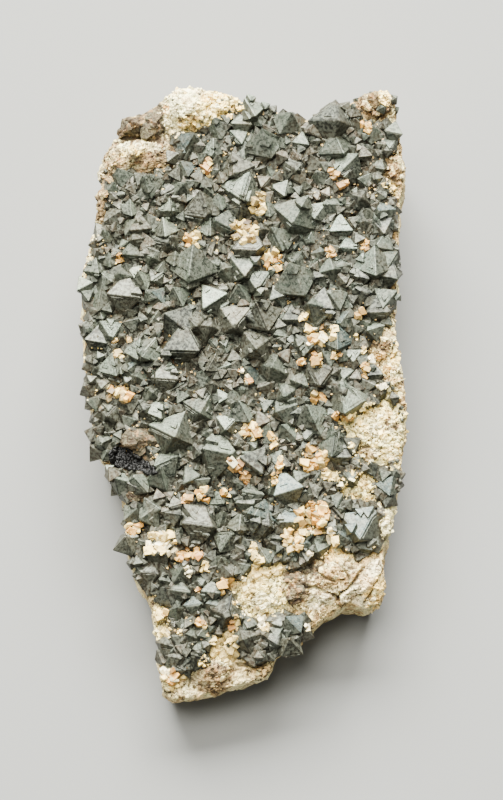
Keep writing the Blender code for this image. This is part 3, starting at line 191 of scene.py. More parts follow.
MIDDLE_FACES = [
    (-24.2, 8.0, -20.4, 10.5, -20.9, 5.9, "U"), (-17.2, 10.8, -20.3, 6.8, -16.0, 5.4, "U"),
    (-20.2, 11.6, -18.2, 11.2, -18.6, 9.6, "U"), (-26.0, 7.6, -29.5, 4.0, -25.0, 2.6, "U"),
    (-29.7, 2.9, -25.6, 2.6, -28.1, 0.1, "U"), (-23.8, 6.0, -20.6, 5.8, -22.9, 3.9, "U"),
    (-22.8, 3.9, -20.6, 4.3, -21.4, 1.5, "U"), (-19.9, 4.7, -21.0, 2.9, -18.4, 1.1, "U"),
    (-15.0, 6.4, -13.4, 4.6, -17.7, 3.7, "U"), (-13.6, 5.0, -11.4, 4.1, -13.0, 3.2, "U"),
    (-15.9, 8.1, -8.4, 8.0, -11.4, 3.8, "D"), (-15.6, 15.5, -10.1, 11.2, -15.9, 9.2, "D"),
    (-18.3, 2.6, -12.6, 2.2, -15.6, -2.0, "D"), (-31.6, 10.2, -27.0, 9.4, -29.9, 6.5, "D"),
    (-20.2, 1.0, -17.8, -0.6, -19.9, -3.3, "U"), (-24.2, -0.9, -20.0, -0.9, -22.0, -5.0, "U"),
    (-4.8, 17.2, 1.9, 16.8, -1.6, 12.2, "U"), (2.8, 17.6, 8.4, 16.6, 5.4, 11.6, "U"),
    (0.0, 12.3, 6.6, 11.2, 2.9, 7.9, "U"), (0.4, 14.7, 4.7, 12.0, 1.2, 12.0, "D"),
    (-12.2, 16.0, -6.4, 15.6, -9.0, 12.6, "U"), (-11.0, 13.0, -6.0, 13.0, -7.8, 8.2, "D"),
    (-4.1, 10.2, -1.2, 9.6, -2.9, 7.3, "U"), (-0.7, 8.4, 2.6, 8.5, 1.2, 5.9, "U"),
    (-8.1, 6.0, -5.2, 7.4, -7.2, 3.8, "U"), (-4.2, 6.8, -5.4, 3.9, -2.1, 5.1, "U"),
    (0.7, 4.3, 3.9, 5.0, 2.8, 1.0, "U"), (7.4, 7.6, 6.0, 4.8, 10.1, 2.5, "U"),
    (4.2, 5.8, 6.4, 5.9, 6.2, 3.5, "D"), (-9.8, 3.2, -8.2, 3.9, -8.8, 1.2, "U"),
    (-8.3, 2.2, -6.9, 2.7, -7.9, 0.5, "U"), (-2.1, 0.1, 0.1, 1.7, 0.7, 0.2, "U"),
    (-5.0, 0.4, -2.0, -1.0, -4.6, -2.7, "U"), (-2.1, 0.3, 0.6, -0.6, -0.6, -3.0, "U"),
    (-0.6, -2.0, 2.7, -3.4, 1.7, -6.5, "U"), (0.2, -0.1, 1.9, 0.0, 1.1, -1.5, "U"),
    (9.3, 18.1, 11.4, 17.6, 10.0, 15.5, "U"), (11.4, 17.2, 13.4, 17.2, 12.2, 15.5, "U"),
    (7.9, 14.2, 12.0, 14.2, 10.0, 11.6, "D"), (7.0, 1.8, 11.6, 0.8, 8.6, -1.6, "U"),
    (19.6, 2.0, 26.0, -1.2, 20.4, -5.0, "U"), (-16.2, -1.4, -20.2, -4.0, -16.0, -5.9, "U"),
    (-15.4, -1.6, -13.5, -3.4, -15.8, -3.9, "U"), (-11.3, -3.8, -18.8, -6.6, -13.4, -9.8, "U"),
    (-24.7, -2.6, -27.2, -5.5, -23.9, -7.0, "U"), (-21.8, -5.8, -19.6, -4.0, -17.6, -6.6, "D"),
    (-28.3, -12.0, -26.9, -12.0, -28.0, -14.3, "U"), (-27.4, -14.8, -25.5, -15.0, -26.8, -16.3, "U"),
    (-23.6, -16.0, -25.1, -17.5, -21.4, -18.6, "U"), (-21.9, -17.0, -18.2, -16.4, -18.6, -20.6, "U"),
    (-18.1, -16.7, -16.5, -16.7, -17.3, -18.7, "U"), (-16.3, -15.4, -13.4, -16.2, -15.0, -20.2, "U"),
    (-16.7, -11.8, -12.6, -13.0, -17.6, -15.1, "U"), (-13.1, -10.2, -10.1, -12.0, -12.2, -13.7, "U"),
    (-6.4, -0.9, -8.2, -4.6, -5.2, -6.6, "U"), (-4.1, -2.1, -1.6, -2.6, -2.4, -5.6, "D"),
    (-5.4, -4.9, -0.7, -5.0, -3.4, -8.2, "U"), (-4.2, -7.6, -7.9, -11.8, -0.5, -13.2, "U"),
    (0.0, -12.2, 4.2, -12.0, 3.6, -15.8, "U"), (4.7, -12.9, 8.0, -11.9, 6.9, -15.2, "U"),
    (6.6, -1.2, 11.3, -2.7, 6.6, -4.4, "U"), (4.4, -4.4, 6.4, -2.0, 6.7, -4.8, "D"),
    (7.9, -7.0, 10.6, -6.2, 11.0, -9.9, "U"), (2.0, -17.8, 4.6, -20.9, 0.0, -20.3, "U"),
    (4.4, -18.0, 6.6, -18.0, 5.2, -21.3, "U"), (7.8, -15.4, 12.4, -19.3, 6.2, -21.2, "U"),
    (-11.4, -14.8, -8.0, -17.1, -11.8, -18.9, "U"), (-8.0, -12.4, -10.6, -14.8, -6.0, -14.9, "D"),
    (-4.0, -15.8, -1.0, -16.2, -2.8, -18.4, "D"), (-5.0, -19.6, -6.9, -22.8, -3.5, -22.8, "U"),
    (-10.5, -12.4, -8.7, -12.4, -9.6, -14.1, "U"), (-11.1, -9.0, -9.4, -9.4, -9.8, -12.3, "U"),
    (-0.6, -13.2, 4.2, -16.6, 0.2, -18.2, "D"), (12.8, -3.0, 17.6, -3.4, 15.3, -8.2, "U"),
    (11.0, -3.0, 12.6, -3.0, 11.8, -4.5, "U"), (14.4, -10.8, 18.6, -8.0, 17.8, -13.6, "U"),
    (20.2, -9.4, 22.4, -12.6, 19.4, -12.8, "D"), (17.0, -13.2, 22.0, -13.4, 19.2, -16.6, "D"),
    (20.1, -15.9, 23.5, -16.0, 22.0, -18.2, "U"), (10.0, -15.6, 13.7, -16.6, 10.8, -18.4, "U"),
    (13.2, -18.2, 16.6, -19.0, 14.4, -21.5, "U"), (17.0, -21.0, 20.2, -20.6, 18.8, -23.6, "U"),
]
FRONT_FACES = [
    (-23.6, -22.7, -20.9, -23.7, -23.6, -26.1, "U"), (-20.4, -22.4, -16.7, -23.0, -20.6, -25.9, "U"),
    (-20.0, -25.9, -16.0, -24.0, -16.4, -26.2, "D"), (-18.8, -25.9, -16.2, -26.0, -17.3, -28.0, "U"),
    (-23.2, -29.2, -20.0, -29.6, -21.8, -33.2, "U"), (-16.2, -24.2, -11.9, -24.6, -14.2, -28.3, "D"),
    (-20.2, -33.4, -16.4, -32.2, -16.0, -36.0, "D"), (-20.4, -36.2, -16.4, -36.4, -18.4, -39.6, "D"),
    (-14.7, -35.3, -11.8, -35.4, -13.7, -38.7, "U"), (-12.2, -37.0, -14.3, -39.8, -10.0, -40.3, "U"),
    (-15.5, -38.9, -17.8, -42.2, -13.8, -43.2, "D"), (-14.0, -41.0, -11.4, -41.2, -12.6, -43.4, "U"),
    (-12.2, -26.4, -5.6, -27.0, -8.8, -32.2, "D"), (-11.9, -22.6, -7.0, -22.8, -9.0, -26.4, "U"),
    (-6.1, -24.8, -3.6, -24.2, -4.6, -27.5, "U"), (-3.9, -26.9, -0.2, -24.0, -0.6, -28.4, "U"),
    (-3.6, -21.6, -1.4, -21.8, -2.5, -24.0, "U"), (-6.1, -28.2, -1.6, -28.2, -4.4, -32.4, "U"),
    (-3.9, -30.4, -1.4, -30.4, -2.6, -32.5, "U"), (0.2, -25.6, 5.6, -26.8, 2.6, -31.2, "D"),
    (-1.4, -22.4, 3.0, -22.6, 0.8, -25.8, "D"), (2.4, -25.1, 4.6, -21.2, 7.2, -26.2, "U"),
    (6.9, -26.4, 9.0, -22.6, 12.0, -26.3, "U"), (6.2, -27.2, 8.1, -28.4, 6.3, -29.3, "U"),
    (3.4, -31.1, 7.2, -31.9, 5.5, -34.6, "U"), (5.0, -29.4, 8.2, -29.6, 6.6, -31.6, "D"),
    (10.0, -31.0, 10.8, -28.2, 14.1, -30.2, "U"), (9.0, -31.0, 12.0, -31.6, 10.8, -34.2, "U"),
    (-4.1, -33.2, -1.8, -33.2, -2.0, -36.4, "U"), (0.0, -32.0, 2.2, -33.6, 1.4, -36.2, "D"),
    (-8.2, -40.0, -6.0, -37.2, -4.0, -40.4, "U"), (-9.6, -37.0, -6.6, -36.8, -8.0, -39.0, "U"),
    (-11.7, -42.8, -10.0, -40.3, -7.9, -42.4, "U"), (-7.2, -42.4, -5.2, -40.4, -3.6, -43.2, "U"),
    (14.2, -24.1, 17.7, -23.6, 17.0, -26.9, "U"), (17.8, -23.2, 20.2, -23.6, 18.8, -26.0, "D"),
    (19.4, -24.4, 26.8, -23.6, 23.4, -30.0, "U"), (24.5, -29.2, 27.0, -27.8, 27.4, -31.0, "U"),
    (19.0, -27.9, 21.0, -27.9, 22.1, -30.1, "U"), (14.2, -29.2, 16.4, -29.2, 15.2, -31.4, "U"),
    (22.8, -31.4, 26.0, -31.8, 24.4, -33.6, "D"), (-13.1, -45.8, -10.9, -45.6, -12.0, -47.5, "U"),
    (-14.4, -47.9, -16.2, -50.3, -12.8, -51.1, "U"), (-15.4, -52.6, -12.0, -53.0, -13.8, -56.0, "D"),
    (-11.1, -48.4, -9.4, -46.8, -8.6, -49.4, "U"), (-7.0, -46.3, -8.8, -48.8, -5.9, -49.5, "U"),
    (-9.9, -51.4, -7.9, -49.4, -7.1, -52.1, "U"), (-7.0, -43.2, -3.2, -44.8, -4.0, -48.2, "D"),
    (-8.9, -43.2, -7.2, -42.8, -7.4, -44.8, "U"), (-11.3, -52.2, -9.0, -52.6, -9.6, -55.9, "D"),
    (-2.1, -49.2, -0.3, -49.2, -0.5, -51.6, "U"), (0.2, -49.0, 4.2, -48.4, 2.2, -53.3, "D"),
    (0.0, -47.8, 3.1, -46.4, 2.4, -48.8, "D"), (5.3, -47.0, 8.4, -46.6, 6.9, -49.4, "U"),
    (4.0, -48.8, 7.0, -50.2, 5.2, -52.8, "D"), (6.5, -49.4, 9.4, -49.2, 7.6, -53.4, "U"),
    (8.6, -44.9, 12.4, -44.4, 11.8, -48.2, "U"), (26.4, -18.6, 30.2, -17.0, 29.4, -21.2, "U"),
    (23.9, -16.2, 25.8, -14.4, 26.4, -17.4, "L"), (29.5, -1.6, 31.7, -1.4, 30.6, -3.4, "D"),
]
LISTED_FACES = BACK_FACES + UPPER_LEFT_FACES + UPPER_RIGHT_FACES + MIDDLE_FACES + FRONT_FACES

LEAN = {
    "U": Vector((0.0, 1.0)),
    "D": Vector((0.0, -1.0)),
    "L": Vector((-1.0, 0.0)),
    "R": Vector((1.0, 0.0)),
}


def top_height(y):
    """Height of the slab's sloping top at a place along its length."""
    return MIDDLE_HEIGHT + TOP_SLOPE * y


def seen_point(x, y_seen, stand):
    """Point that stands this high over the slab top and looks to be at x, y_seen."""
    rise = math.sin(VIEW_TILT) + TOP_SLOPE * math.cos(VIEW_TILT)
    y = (y_seen - (stand - FACE_STAND) * math.cos(VIEW_TILT)) / rise
    return Vector((x, y, top_height(y) + stand))


def octahedron_from_face(face):
    """Six corners of the octahedron whose one face looks like the given triangle."""
    seen = [Vector((face[i], face[i + 1])) for i in (0, 2, 4)]
    lean = LEAN[face[6]]
    side_a = (seen[0] - seen[1]).length_squared
    side_b = (seen[1] - seen[2]).length_squared
    side_c = (seen[2] - seen[0]).length_squared
    total = side_a + side_b + side_c
    cross = (seen[1] - seen[0]).cross(seen[2] - seen[0])
    square = (total + math.sqrt(max(total * total - 12.0 * cross * cross, 0.0))) / 3.0
    step_a = math.sqrt(max(square - side_a, 0.0))
    step_b = math.sqrt(max(square - side_b, 0.0))
    if side_a + side_b - side_c < square:
        step_b = -step_b
    depths = [0.0, -step_a, -step_a - step_b]
    points = [Vector((p.x, p.y, d)) for p, d in zip(seen, depths)]
    normal = (points[1] - points[0]).cross(points[2] - points[0]).normalized()
    if normal.z < 0.0:
        normal.negate()
    if normal.xy.dot(lean) < 0.0:
        normal = Vector((-normal.x, -normal.y, normal.z))
        points = [Vector((p.x, p.y, -p.z)) for p in points]
    middle = sum(points, Vector()) / 3.0
    spoke = points[0] - middle
    axis = Vector((0.0, 0.0, 1.0)).cross(Vector((lean.x, lean.y, 0.0)))
    tilt = normal.angle(Vector((0.0, 0.0, 1.0)))
    turn = min(EXTRA_LEAN, STEEPEST_FACE - tilt)
    if turn < 0.0:
        axis = Vector((0.0, 0.0, 1.0)).cross(normal).normalized()
    normal = rotated(normal, axis, turn)
    spoke = rotated(spoke, axis, turn)
    spoke = (spoke - normal * spoke.dot(normal)).normalized()
    edge = math.sqrt(square)
    return place_octahedron(seen, normal, spoke, edge)


def rotated(vector, axis, angle):
    """The vector turned about an axis by the right-hand rule."""
    axis = axis.normalized()
    part = vector * math.cos(angle) + axis.cross(vector) * math.sin(angle)
    return part + axis * axis.dot(vector) * (1.0 - math.cos(angle))


def to_frame(vector):
    """Turn a direction measured along the sight line into the part's frame."""
    return SIGHT_RIGHT * vector.x + SIGHT_UP * vector.y + SIGHT * vector.z


def place_octahedron(seen, normal, spoke, edge):
    """Stand an octahedron on the slab top so that its face looks to be where it is listed."""
    middle = sum(seen, Vector((0.0, 0.0))) / 3.0
    normal = to_frame(normal)
    spoke = to_frame(spoke)
    inner = edge * math.sqrt(1.0 / 6.0)
    start = seen_point(middle.x, middle.y, FACE_STAND) - normal * inner
    gain = SIGHT.z - TOP_SLOPE * SIGHT.y
    wanted = CRYSTAL_LIFT * edge + BED_GAP + 0.3
    centre = start + SIGHT * ((wanted - start.z + top_height(start.y)) / gain)
    corners = []
    for third in range(3):
        arm = rotated(spoke, normal, math.radians(120.0 * third)) * (edge / math.sqrt(3.0))
        corners.append(normal * inner + arm)
    corners += [-corner for corner in corners]
    return centre, [centre + corner for corner in corners], edge


def inside(x, y, outline):
    """Whether a point lies inside a closed outline."""
    hit = False
    for (ax, ay), (bx, by) in zip(outline, outline[1:] + outline[:1]):
        if (ay > y) != (by > y) and x < (bx - ax) * (y - ay) / (by - ay) + ax:
            hit = not hit
    return hit


def clamp(value):
    return min(max(value, 0.0), 1.0)


def random_place(outline, chance):
    """A random place in the box around an outline."""
    xs = [p[0] for p in outline]
    ys = [p[1] for p in outline]
    x = chance.uniform(min(xs), max(xs))
    return x, chance.uniform(min(ys), max(ys))


def turned_octahedron(x, y, edge, lean, tip, spin):
    """An octahedron seen at this place, one face tipped over towards lean and turned by spin."""
    normal = Vector((math.cos(lean) * math.sin(tip), math.sin(lean) * math.sin(tip), math.cos(tip)))
    spoke = Vector((math.cos(spin), math.sin(spin), 0.0))
    spoke = (spoke - normal * spoke.dot(normal)).normalized()
    return place_octahedron([Vector((x, y))] * 3, normal, spoke, edge)


def off_segment(x, y, ax, ay, bx, by):
    """Distance in the front view from a place to the straight line between two others."""
    length = (bx - ax) ** 2 + (by - ay) ** 2
    share = clamp(((x - ax) * (bx - ax) + (y - ay) * (by - ay)) / length)
    return math.hypot(x - ax - share * (bx - ax), y - ay - share * (by - ay))


def met_from_view(ground, x, y):
    """The point of the ground that is seen at this place, or None."""
    return ground.ray_cast(seen_point(x, y, 0.0) + SIGHT * ABOVE_ALL, -SIGHT)[0]


def filling_octahedra(placed, smallest, largest, tries, seed, closeness):
    """Seeded octahedra in the places on the beds that the listed ones leave bare."""
    chance = random.Random(seed)
    spots = [(centre.x, centre.y, edge) for centre, corners, edge in placed]
    added = []
    for attempt in range(tries):
        outline = MAIN_BED if attempt % 12 else BEDS[1 + (attempt // 12) % 3]
        x, y = random_place(outline, chance)
        edge = chance.uniform(smallest, largest)
        lean = chance.uniform(0.0, 2.0 * math.pi)
        tip = math.radians(chance.uniform(8.0, 50.0))
        spin = chance.uniform(0.0, 2.0 * math.pi)
        if not inside(x, y, outline):
            continue
        foot = seen_point(x, y, FACE_STAND)
        near = [math.hypot(foot.x - sx, foot.y - sy) / (edge + size) for sx, sy, size in spots]
        if min(near) < closeness:
            continue
        added.append(turned_octahedron(x, y, edge, lean, tip, spin))
        spots.append((foot.x, foot.y, edge))
    return added


# How single faces differ from the ordinary satin grey, by the place they are seen at: bright faces
# carry a painted highlight, blue ones a painted bluish reflection, dark ones painted shade, and dull
# ones are a duller brownish grey.
FACE_TONES = {
    "bright": [
        (2.8, 57.5), (-6.8, 49.3), (-2.0, 42.0), (20.5, 46.0), (24.0, 50.2), (-22.8, 32.8),
        (-17.2, 32.6), (-24.0, 29.6), (-21.7, 24.3), (-19.2, 22.3), (-32.0, 21.5), (-29.5, 18.0),
        (-27.7, 15.8), (-12.0, 19.0), (-19.0, 16.4), (-18.0, 15.0), (-26.0, 12.4), (14.7, 36.6),
        (20.0, 33.3), (21.4, 29.6), (12.3, 31.0), (1.0, 19.5), (-6.3, 18.8), (-4.0, 5.2),
        (-27.0, 4.8), (-19.5, 3.2), (-15.8, 4.9), (-12.5, 4.1), (-9.0, 2.8), (-7.7, 1.8),
        (-22.0, 8.2), (-18.0, 8.0), (-17.6, -3.8), (-14.0, -6.7), (-3.2, -6.0), (-4.0, -11.0),
        (2.3, -13.2), (10.0, -8.0), (-9.6, -13.0), (-10.1, -10.2), (-23.2, -17.5),
        (-19.8, -18.2), (-14.8, -17.4), (-15.2, -13.4), (-28.0, -12.8), (-26.5, -15.4),
        (-5.2, -21.7), (26.8, 13.1), (25.0, 26.0), (-3.9, -0.8), (0.3, -3.0), (16.6, 25.0),
        (15.3, -5.0), (-21.5, 36.8), (-14.0, 33.0), (-16.0, 37.3), (-7.3, 32.8), (22.0, -0.8),
    ],
    "blue": [
        (29.0, 37.0), (15.0, 28.3), (19.8, 14.9), (20.6, 10.4), (2.5, 3.6), (8.8, -18.8),
        (5.0, -24.2), (9.3, -25.0), (11.6, -30.0), (23.3, -26.0), (20.6, -28.9), (-22.8, 5.4),
        (-10.8, 44.8), (-11.5, 50.5), (-9.8, -41.8), (-5.4, -42.0), (10.8, -46.0), (28.6, -19.0),
        (-16.7, 18.8), (-21.7, 3.0),
    ],
    "dull": [
        (-23.0, 17.5), (-20.0, 31.5), (-20.5, 29.0), (-1.5, 15.5), (5.5, 14.5), (3.3, 10.5),
        (-9.0, 14.6), (-7.8, 11.2), (1.4, 26.5), (-22.0, -2.4), (-15.6, 0.6), (-9.0, -28.5),
        (-21.7, -31.0), (-18.5, -37.3), (-17.8, -34.0), (-13.9, -53.9), (15.6, 3.3),
        (14.8, -19.8), (24.0, 32.4), (21.0, -11.5), (-9.4, -24.0), (-2.0, 46.0), (-6.4, 37.5),
        (3.1, 19.5), (-25.5, 15.0), (-27.9, 2.0), (-6.8, 5.8), (-25.4, -5.2), (-26.3, 35.5),
        (7.7, -51.0), (-14.2, -49.9),
    ],
    "dark": [
        (18.5, 55.0), (22.0, 44.0), (9.5, 44.0), (24.2, 36.5), (27.0, 32.0), (2.8, 30.8),
        (-2.0, 35.0), (19.5, 21.0), (15.8, 21.8), (23.5, 21.8), (29.0, 22.0), (24.0, 18.7),
        (27.4, 14.6), (15.8, 15.2), (10.0, 13.3), (2.0, 13.0), (-13.8, 12.0), (-12.0, 6.6),
        (-29.5, 8.7), (-16.8, 28.2), (-13.0, 29.5), (26.7, 2.2), (18.4, -1.0), (-19.6, -5.5),
        (-8.2, -14.0), (19.4, -14.4), (1.2, -16.0), (25.4, -16.0), (2.8, -28.0), (-14.0, -25.8),
        (-15.7, -41.5), (-4.7, -45.4), (-10.0, -53.6), (2.2, -50.3), (5.4, -50.5), (30.6, -2.1),
    ],
}

# Places between the crystals that are packed with grains: x range, y range, colours.
GRAIN_ZONES = [
    (-2.2, 3.2, 28.0, 33.8, "cream brown"), (1.0, 4.5, 35.2, 40.0, "cream brown"),
    (4.5, 8.0, 24.0, 28.0, "cream orange"), (-11.3, -8.6, 28.0, 32.0, "cream orange"),
    (-25.0, -24.0, 25.8, 27.8, "orange"), (24.0, 25.4, 28.0, 30.3, "orange salmon"),
    (17.0, 18.5, 26.7, 28.5, "orange salmon"), (-26.0, -24.2, 6.6, 8.2, "cream tan"),
    (-26.0, -25.0, 9.4, 10.6, "tan"), (-23.0, -22.0, 9.7, 10.7, "tan"),
    (11.6, 13.4, 14.0, 15.5, "cream"), (13.0, 16.7, 8.8, 12.8, "cream orange white"),
    (17.3, 19.0, 10.2, 12.8, "cream"), (22.5, 25.0, 14.0, 16.2, "cream orange"),
    (22.5, 23.6, 10.0, 11.2, "cream"), (23.9, 25.2, 7.4, 8.6, "cream"),
    (25.2, 26.7, 5.0, 6.6, "white"), (26.5, 28.5, 6.2, 7.3, "orange"),
    (28.3, 29.6, 2.6, 4.8, "yellow orange"), (23.8, 25.2, 2.4, 5.3, "yellow orange"),
    (13.8, 16.0, 4.4, 7.5, "cream orange"), (11.2, 13.2, 5.0, 6.4, "cream orange"),
    (18.0, 20.0, 6.2, 7.5, "orange cream"), (27.0, 28.7, -0.5, 1.3, "white"),
    (-0.9, 0.3, 3.4, 4.7, "salmon white"), (0.3, 1.8, 1.0, 3.0, "salmon white"),
    (-26.8, -22.0, -2.0, 1.0, "orange cream brown"), (14.0, 17.0, -2.6, -0.5, "rust orange"),
    (18.0, 19.4, -5.7, -4.2, "orange"), (19.6, 22.0, -6.6, -4.8, "cream orange"),
    (0.0, 4.0, -10.0, -6.6, "cream orange"), (5.4, 7.2, -11.7, -9.0, "yellow cream"),
    (-2.6, 0.0, -15.7, -13.5, "salmon rust white"), (-0.8, 1.4, -19.0, -16.0, "salmon"),
    (7.0, 8.3, -16.6, -13.2, "cream orange"), (6.0, 7.2, -19.0, -16.6, "yellow"),
    (-9.3, -7.0, -22.2, -19.3, "cream orange"), (-12.2, -9.5, -22.8, -21.0, "salmon"),
    (-4.0, -2.0, -21.3, -19.7, "cream orange"), (11.8, 17.0, -16.2, -11.5, "orange yellow brown"),
    (15.8, 19.8, -18.0, -16.2, "cream"), (12.7, 16.0, -23.2, -22.2, "orange"),
    (11.0, 17.0, -29.0, -23.0, "cream orange"), (16.7, 19.0, -31.0, -27.6, "white cream"),
    (13.0, 14.3, -33.0, -32.0, "white"), (8.5, 12.0, -32.0, -27.5, "yellow cream"),
    (1.4, 3.0, -33.0, -30.0, "cream"), (2.0, 4.0, -36.0, -33.0, "cream"),
    (2.0, 8.0, -37.0, -35.0, "cream"), (-22.8, -20.2, -28.8, -26.2, "orange cream"),
    (-18.8, -13.0, -32.7, -28.2, "cream white"), (-13.2, -8.0, -34.0, -31.4, "salmon orange"),
    (-11.5, -10.2, -37.2, -35.0, "white"), (-8.2, -6.8, -36.3, -33.6, "cream"),
    (-9.3, -8.2, -40.5, -39.2, "white salmon"), (-4.4, -1.7, -40.3, -37.2, "cream orange"),
    (-2.4, -0.6, -48.8, -44.6, "salmon cream"), (-6.0, -0.8, -53.7, -48.8, "cream"),
    (-9.3, -7.0, -47.2, -45.6, "cream orange"), (3.0, 4.7, -47.5, -44.4, "white"),
    (4.0, 5.4, -48.0, -46.6, "cream"), (-17.3, -14.8, -46.0, -43.5, "orange cream"),
    (-17.0, -14.2, -49.5, -47.0, "cream white"), (-13.0, -12.0, -48.7, -47.6, "cream"),
    (-16.0, -11.5, -58.2, -55.3, "cream orange white"), (12.5, 13.8, -48.0, -46.4, "white"),
    (23.5, 26.2, 52.0, 54.5, "orange"), (17.4, 19.4, 42.6, 44.6, "salmon"),
    (-8.4, -6.2, 42.8, 46.6, "cream salmon"),
    (19.4, 21.4, 40.6, 42.6, "salmon"), (31.8, 32.8, 42.8, 43.8, "white"),
]

# Bare rock: centre x, centre y, half width, half length, colour.
ROCK_ZONES = [
    (-12.9, 56.6, 3.8, 5.4, "white"), (-8.6, 57.8, 4.0, 3.8, "white"),
    (-4.4, 57.4, 5.0, 3.4, "granular"), (-9.6, 53.6, 3.4, 1.8, "granular"),
    (-15.3, 57.0, 1.0, 1.4, "orange"), (-22.9, 53.4, 2.8, 2.3, "grey"),
    (-18.7, 52.7, 3.3, 2.3, "grey"), (-18.4, 55.6, 2.6, 2.6, "grey"),
    (-20.4, 47.2, 8.4, 4.6, "brown"), (-25.4, 47.0, 2.4, 2.6, "pink"),
    (-26.6, 44.6, 1.8, 1.8, "pink"), (-22.0, 48.4, 2.6, 0.8, "granular"),
    (-23.5, 50.0, 1.1, 0.8, "white"), (-19.2, 49.3, 2.4, 1.2, "white"),
    (-26.6, 41.4, 2.4, 3.0, "brown"), (-28.6, 35.4, 1.8, 5.0, "brown"),
    (-29.6, 29.6, 0.9, 2.4, "white"), (-31.2, 15.2, 1.6, 2.8, "brown"),
    (-30.2, 5.7, 2.2, 1.5, "cream"), (-29.9, -2.2, 1.8, 1.3, "white"),
    (-20.5, -10.6, 4.2, 3.4, "grey"), (-20.5, -21.2, 3.0, 2.0, "grey"),
    (26.6, 57.8, 4.4, 3.4, "brown"), (28.6, 59.3, 1.5, 1.6, "yellow"),
    (30.9, 44.2, 2.4, 4.6, "pink"), (29.6, 40.4, 1.9, 1.3, "granular"),
    (31.2, 33.0, 1.2, 6.4, "tan"), (28.0, 9.8, 3.0, 2.0, "brown"),
    (30.8, 7.2, 1.3, 3.6, "cream"), (30.4, 2.2, 2.0, 2.6, "tan"),
    (26.0, -9.0, 8.0, 7.8, "cream"), (29.7, -6.5, 1.6, 1.5, "pink"),
    (26.9, -8.1, 1.5, 1.1, "white"), (30.0, -12.8, 1.8, 1.2, "white"),
    (23.6, -7.2, 1.0, 1.4, "granular"), (25.2, -12.9, 2.9, 1.5, "tan"),
    (22.6, -19.6, 4.8, 3.2, "cream"), (28.6, -26.0, 2.2, 4.4, "white"),
    (18.8, -37.0, 5.0, 4.6, "tan"), (22.6, -36.6, 3.4, 3.0, "tan"),
    (15.4, -41.4, 2.3, 2.5, "pale"), (26.2, -40.2, 2.3, 3.6, "yellow"),
    (22.4, -43.0, 4.4, 1.4, "pale"), (18.6, -32.6, 2.2, 1.7, "yellow"),
    (22.2, -32.2, 1.6, 1.2, "yellow"), (10.4, -38.9, 2.9, 3.8, "speckled"),
    (13.0, -34.8, 2.4, 2.0, "grey"), (3.6, -41.0, 5.6, 5.6, "cream"),
    (4.4, -42.4, 2.4, 1.8, "white"), (-6.2, -57.0, 4.2, 3.4, "brown"),
    (-3.0, -51.4, 2.4, 2.6, "cream"), (-7.4, -53.4, 1.3, 1.2, "granular"),
    (-15.8, -30.4, 3.2, 2.6, "cream"), (-16.0, -46.0, 1.8, 3.8, "cream"),
    (-13.8, -57.2, 2.6, 1.9, "granular"), (12.0, -27.0, 2.6, 4.0, "cream"),
]

# Ridges and cracks in the rock: the line they follow, half width, rise, colour.
ROCK_LINES = [
    ([(20.8, -42.8), (23.4, -39.4), (26.4, -35.4)], 1.35, 0.75, "pale"),
    ([(18.8, -43.6), (20.0, -41.0), (22.4, -38.0), (24.2, -35.2)], 0.32, -0.9, "crack"),
    ([(12.2, -38.8), (15.2, -39.4), (17.9, -41.2), (19.2, -43.4)], 0.32, -0.9, "crack"),
    ([(14.6, -35.6), (16.6, -37.4), (18.6, -38.0)], 0.28, -0.6, "crack"),
    ([(18.4, -33.8), (20.4, -35.6), (21.4, -37.6)], 0.26, -0.6, "crack"),
    ([(24.4, -43.4), (25.6, -40.8), (26.6, -38.2)], 0.28, -0.6, "crack"),
    ([(22.3, -12.4), (24.0, -11.5), (26.2, -11.2), (28.0, -11.8)], 0.34, -0.6, "crack"),
    ([(21.2, -7.6), (22.6, -8.6), (23.0, -10.2)], 0.2, -0.4, "crack"),
    # A groove with painted shadow: the dark line under the step at the lower edge of the brown band.
    ([(-17.4, 44.4), (-15.0, 43.7), (-12.8, 43.2)], 0.45, -0.8, "crack"),
    ([(-25.6, 51.2), (-22.6, 50.9), (-19.4, 50.7), (-16.6, 50.6)], 0.4, -0.6, "crack"),
    ([(-20.9, 54.8), (-20.4, 52.8), (-20.7, 51.0)], 0.25, -0.6, "crack"),
    ([(-16.0, 55.6), (-15.6, 53.0), (-15.4, 50.8)], 0.25, -0.5, "crack"),
    ([(8.2, -32.4), (7.2, -34.3), (5.0, -36.2), (2.0, -37.2)], 0.9, 0.55, "cream"),
    ([(-0.4, -54.5), (2.2, -54.9), (4.6, -54.4)], 0.5, -0.8, "crack"),
    ([(-11.2, -55.8), (-10.2, -57.4), (-10.6, -59.0)], 0.22, -0.4, "crack"),
    ([(31.0, 48.2), (32.0, 46.6), (32.5, 44.6)], 0.4, 0.2, "white"),
    ([(28.6, 46.4), (29.4, 44.4), (29.2, 42.0)], 0.25, -0.5, "crack"),
    ([(27.4, 60.4), (27.2, 58.6), (27.6, 56.8)], 0.2, -0.4, "crack"),
    ([(30.3, 10.0), (31.4, 7.0), (31.9, 3.4)], 0.55, 0.15, "white"),
    ([(-26.6, -11.0), (-24.4, -12.6), (-21.4, -13.6), (-18.2, -14.6)], 0.5, -0.2, "crack"),
]

